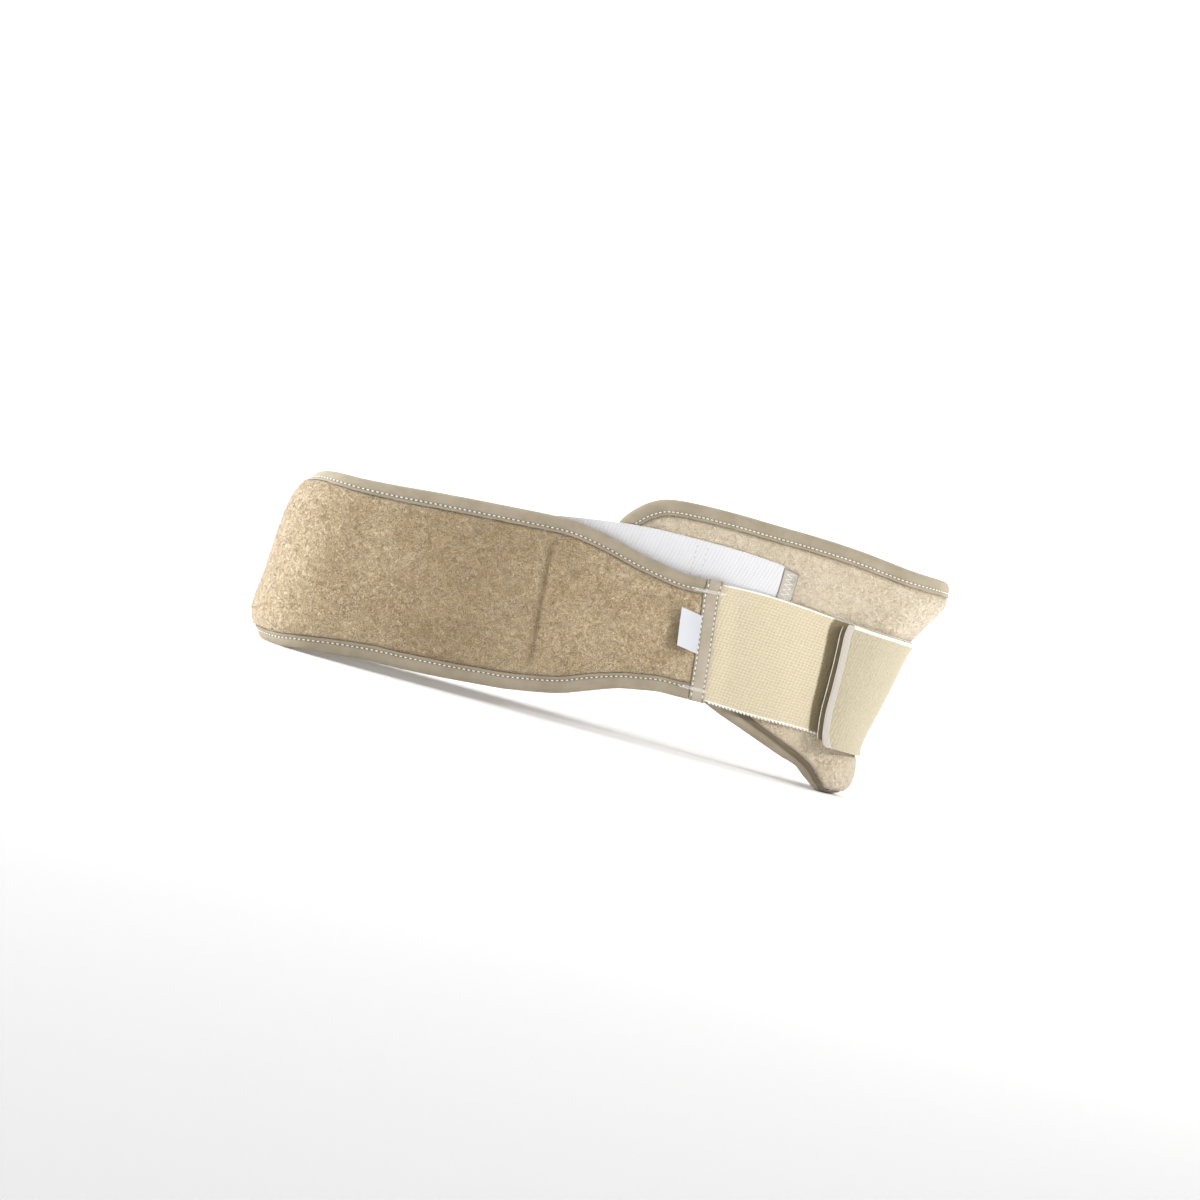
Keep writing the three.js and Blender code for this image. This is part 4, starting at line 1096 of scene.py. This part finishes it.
webbing = Finish("grey_webbing", {"Roughness": 0.75, "Sheen Weight": 0.2, "Specular IOR Level": 0.25})
along, across, _ = webbing.cloth()
rows = across.wave(0.0009) * (0.6 + 0.4 * along.wave(0.0012))
grey = webbing.blend(rows, srgb(176, 170, 160), srgb(214, 209, 201))
# Painted shade from the shade attribute, round the tabs' rims and in their crumples.
grey = webbing.blend(webbing.shade() * 0.75, grey, srgb(112, 98, 80))
webbing.drive(Base_Color=grey)
webbing.bump(rows, 0.0002)

v = np.linspace(0, 1, 70)[:, None]
end_in, end_out = mirrored(
    (5, 1.5), (4.7, 1.75), (3.6, 1.85), (2.6, 1.75), (1.7, 1.85), (0.8, 1.75), (0.2, 1.35), (0, 0.6))
end_lining = mirrored(
    (5, 1.25), (4.7, 1.25), (3.6, 1.25), (2.6, 1.25), (1.7, 1.25), (1.1, 1.1), (0.8, 0.8), (0.65, 0.4))
end_tape = skin("strap_left_end_fold", free_end(v, end_in, end_out), free_end(v, *end_lining), False,
                measures(v * end_length, end_in, tape_width))
dress(end_tape, webbing, "hook_tape", "strap_left_end_tape")

# Hook tape coloured dark brown-olive as painted shade, for where it lies in shadow under the lifted end.
dark_shaded_hooks = Finish("hook_tape", {"Roughness": 0.6, "Specular IOR Level": 0.35})
grain = dark_shaded_hooks.noise(1400, 2, 0.5)
dark_shaded_hooks.drive(Base_Color=dark_shaded_hooks.blend(grain, srgb(96, 84, 60), srgb(132, 118, 88)))
dark_shaded_hooks.bump(grain, 0.0004)
v = np.linspace(0.04, 0.97, 60)[:, None]
back = np.array([-hook_proud, -3.2, -1.9, 0, 3, 6, 9, 12, 16, 20, 21.5])[None, :]
below = strap_half + 2 * clearance + 0.2 + end_tape_thickness + hook_half
drop = below - 0.4 * ramp(8, 12, back)
back = back + (0.7 - 0.5 * (1 - v)) * (back < -1)
thin = hook_half * np.array([0.4, 0.85, 1, 1, 1, 1, 1, 1, 1, 0.9, 0.5])
hook_tape = skin("strap_left_hooks", free_end(v, back, thin - drop), free_end(v, back, -thin - drop), False,
                 measures(v * end_length, back + hook_proud, hook_width))
dress(hook_tape, dark_shaded_hooks, "hook_tape", "strap_left_hook_tape")

v = np.linspace(0.045, 0.965, 80)
edge = -0.1 - hook_proud + 0.7 - 0.5 * (1 - v)
cord_line = free_end(v, edge, 0.2 - below)
sew("hook_tape_edge_yarn", [(cord_line, free_end(v, edge, 1.2 - below) - cord_line)], yarn,
    pitch=1.2, length=2.2, width=0.7, rise=0.55)

cloth_sheet(strap_right, rest_right, held="stretched", rests_on=[belly_pad])
cloth_sheet(strap_left, rest_left, held="stretched", rests_on=[belly_pad, strap_right],
            with_pieces=[end_tape, hook_tape])


# Narrow elastics and their tabs
# White ribbed elastic, sewn inside the back band and drawn round the outside of the belly panel, where
# a folded grey tab with zigzag thread holds each front end.
narrow_layer = 1.1
narrow_half = 0.6
tab_half = 0.8
narrow_width = 46
narrow_top = 161
narrow_start = 0.375
narrow_end = 0.737
narrow_lean = 15
tab_width = 12
narrow_edge = {
    "along": (0.375, 0.409, 0.476, 0.530, 0.558, 0.614, 0.671, 0.730, 0.770),
    "level": (0.905, 0.925, 0.965, 0.987, 0.994, 0.999, 0.999, 0.988, 0.970),
}

elastic = Finish("white_elastic", {"Roughness": 0.7, "Sheen Weight": 0.15, "Specular IOR Level": 0.3})
along, across, _ = elastic.cloth()
ribs = along.wave(0.0026)
threads = across.wave(0.0019)
weave = ribs * (0.5 + 0.5 * threads)
soft = elastic.noise(500, 3, 0.6)
shade = elastic.blend(weave, srgb(211, 211, 214), srgb(222, 222, 224))
shade = elastic.blend(soft.rise(0.55, 0.8) * 0.4, shade, srgb(205, 205, 209))
elastic.drive(Base_Color=shade, Roughness=0.6 + 0.2 * soft)
elastic.bump(weave + 0.4 * soft, 0.00027, 0.8)


def narrow_place(share, across):
    start = narrow_start * half_loop
    end = narrow_end * half_loop + narrow_lean * (1 - across)
    along = mix(start, end, share)
    high = narrow_top * follow(narrow_edge, "along", "level", along / half_loop)
    return along, high - narrow_width * (1 - across)


def narrow_elastic(name, side, node):
    share = np.linspace(0, 1, 110)[:, None]
    v = np.linspace(0, 1, 26)[None, :]
    along, flat = narrow_place(share, v)
    rest = loop_point(side, along, flat, narrow_layer)
    ripple = 0.12 * lumps(rest, 12, 71)
    outer = loop_point(side, along, flat, narrow_layer + narrow_half + np.maximum(ripple, -0.1))
    inner = loop_point(side, along, flat, narrow_layer - narrow_half)
    piece = skin(name, outer, inner, False, measures(along, v * narrow_width, narrow_width))
    dress(piece, elastic, "white_elastic", node)
    cloth_sheet(piece, rest, held="stretched", rests_on=[belly_pad])


narrow_elastic("narrow_elastic_near", -1, "narrow_elastic_right")
narrow_elastic("narrow_elastic_far", 1, "narrow_elastic_left")


def outside_line(side, along, flat, layer):
    """A line of the loop at a layer, and its outward normals."""
    return surface_line(lambda o: loop_point(side, along, flat, layer + o), 0)


sew("narrow_elastic_picots",
    [outside_line(side, *narrow_place(np.linspace(0.01, 0.99, 200), across), narrow_layer + 0.1)
     for side in (-1, 1) for across in (1.0, 0.0)],
    yarn, pitch=1.9, length=1.5, width=0.8, rise=0.5)


def start_seam(side, back):
    """A seam on the inner face, so its normals are turned round."""
    along, flat = narrow_place(0.0, np.linspace(0.05, 0.95, 30))
    line, outward = outside_line(side, along + back, flat, narrow_layer - narrow_half)
    return line, -outward


sew("narrow_elastic_start_seams", [start_seam(side, back) for side in (-1, 1) for back in (3, 11)],
    thread, pitch=2.8, length=2.2, width=0.7, rise=0.3)

dot = Finish("grey_thread", {"Roughness": 0.8})
dot.drive(Base_Color=dot.blend(dot.noise(900), srgb(140, 138, 132), srgb(168, 164, 156)))


def dotted_row(side, along):
    flat = np.linspace(158, 124, 60)
    return outside_line(side, along + (158 - flat) * 0.25, flat, narrow_layer + narrow_half + 0.02)


sew("narrow_elastic_seams", [dotted_row(side, along) for side in (-1, 1) for along in (321, 328.5)],
    dot, pitch=4.2, length=1.3, width=0.5, rise=0.16)


def tab_place(share, across):
    drop = 1 + (narrow_width - 2) * (1 - across)
    along = narrow_end * half_loop + narrow_lean * drop / narrow_width + clearance + share * tab_width
    high = narrow_top * follow(narrow_edge, "along", "level", along / half_loop)
    return along, high - drop


def elastic_tab(name, side, node):
    share = np.linspace(0, 1, 17)[:, None]
    v = np.linspace(0, 1, 30)[None, :]
    layer = narrow_layer - narrow_half + tab_half
    along, flat = tab_place(share, v)
    rest = loop_point(side, along, flat, layer)
    edge = np.minimum(np.minimum(share, 1 - share) * tab_width, np.minimum(v, 1 - v) * narrow_width)
    half = tab_half * mix(0.5, 1, ramp(0, 1.2, edge))
    outer = loop_point(side, along, flat, layer + half + 0.25 * lumps(rest, 3.5, 81))
    inner = loop_point(side, along, flat, layer - half)
    # Painted shade round the tab's rim, and in patches for its crumples.
    painted_rim_shade = np.maximum(1 - ramp(0.2, 1.1, edge), 0.7 * ramp(0.1, 0.8, lumps(rest, 4.5, 83)))
    piece = skin(name, outer, inner, False, measures(along, v * narrow_width, narrow_width), painted_rim_shade)
    dress(piece, webbing, "binding_tape", node)


elastic_tab("elastic_tab_near", -1, "elastic_tab_right")
elastic_tab("elastic_tab_far", 1, "elastic_tab_left")

zigzag_t = np.linspace(0, 1, 240)
zigzag = tab_place(0.25 + 0.5 * np.abs((zigzag_t * 11) % 1 * 2 - 1), 0.04 + 0.92 * zigzag_t)
zigzag_layer = narrow_layer - narrow_half + 2 * tab_half + 0.12
sew("elastic_tab_zigzag", [outside_line(side, *zigzag, zigzag_layer) for side in (-1, 1)], thread,
     pitch=1.9, length=2.0, width=0.6, rise=0.3)


# Size label
# A bare white satin label, folded and caught in the seam of the near joint tape. Its free edge lifts.
label_length = 16.5
label_width = 28.5
label_height = 92
label_lift = 5
label_lap = 1
label_half = 0.25

satin = Finish("label_satin", {"Roughness": 0.5, "Sheen Weight": 0.1, "Specular IOR Level": 0.4})
_, across, _ = satin.cloth()
fine_rows = across.wave(0.0006)
satin.drive(Base_Color=satin.blend(fine_rows * 0.4, srgb(204, 206, 212), srgb(192, 194, 201)))
satin.bump(fine_rows, 0.00006)

share = np.linspace(0, 1, 24)[:, None]
v = np.linspace(0, 1, 30)[None, :]
height = label_height + label_width * (v - 0.5) + (1 - share) * 2.5
along = joint_along(height) - tape_width + label_lap - label_length * (1 - share)
lift = label_lift * (0.3 * (1 - share) + 0.7 * (1 - share) ** 2) + 0.6 * (1 - share) * np.cos(3.5 * v)
layer = band_layer + binding_half + clearance + 0.4 + lift
outer, rest, inner = (loop_point(-1, along, height, layer + out) for out in (label_half, 0, -label_half))
label = skin("label_bare", outer, inner, False, measures(along, v * label_width, label_width))
dress(label, satin, "label", "size_label")
cloth_sheet(label, rest, held="hung", rests_on=[back_pad])
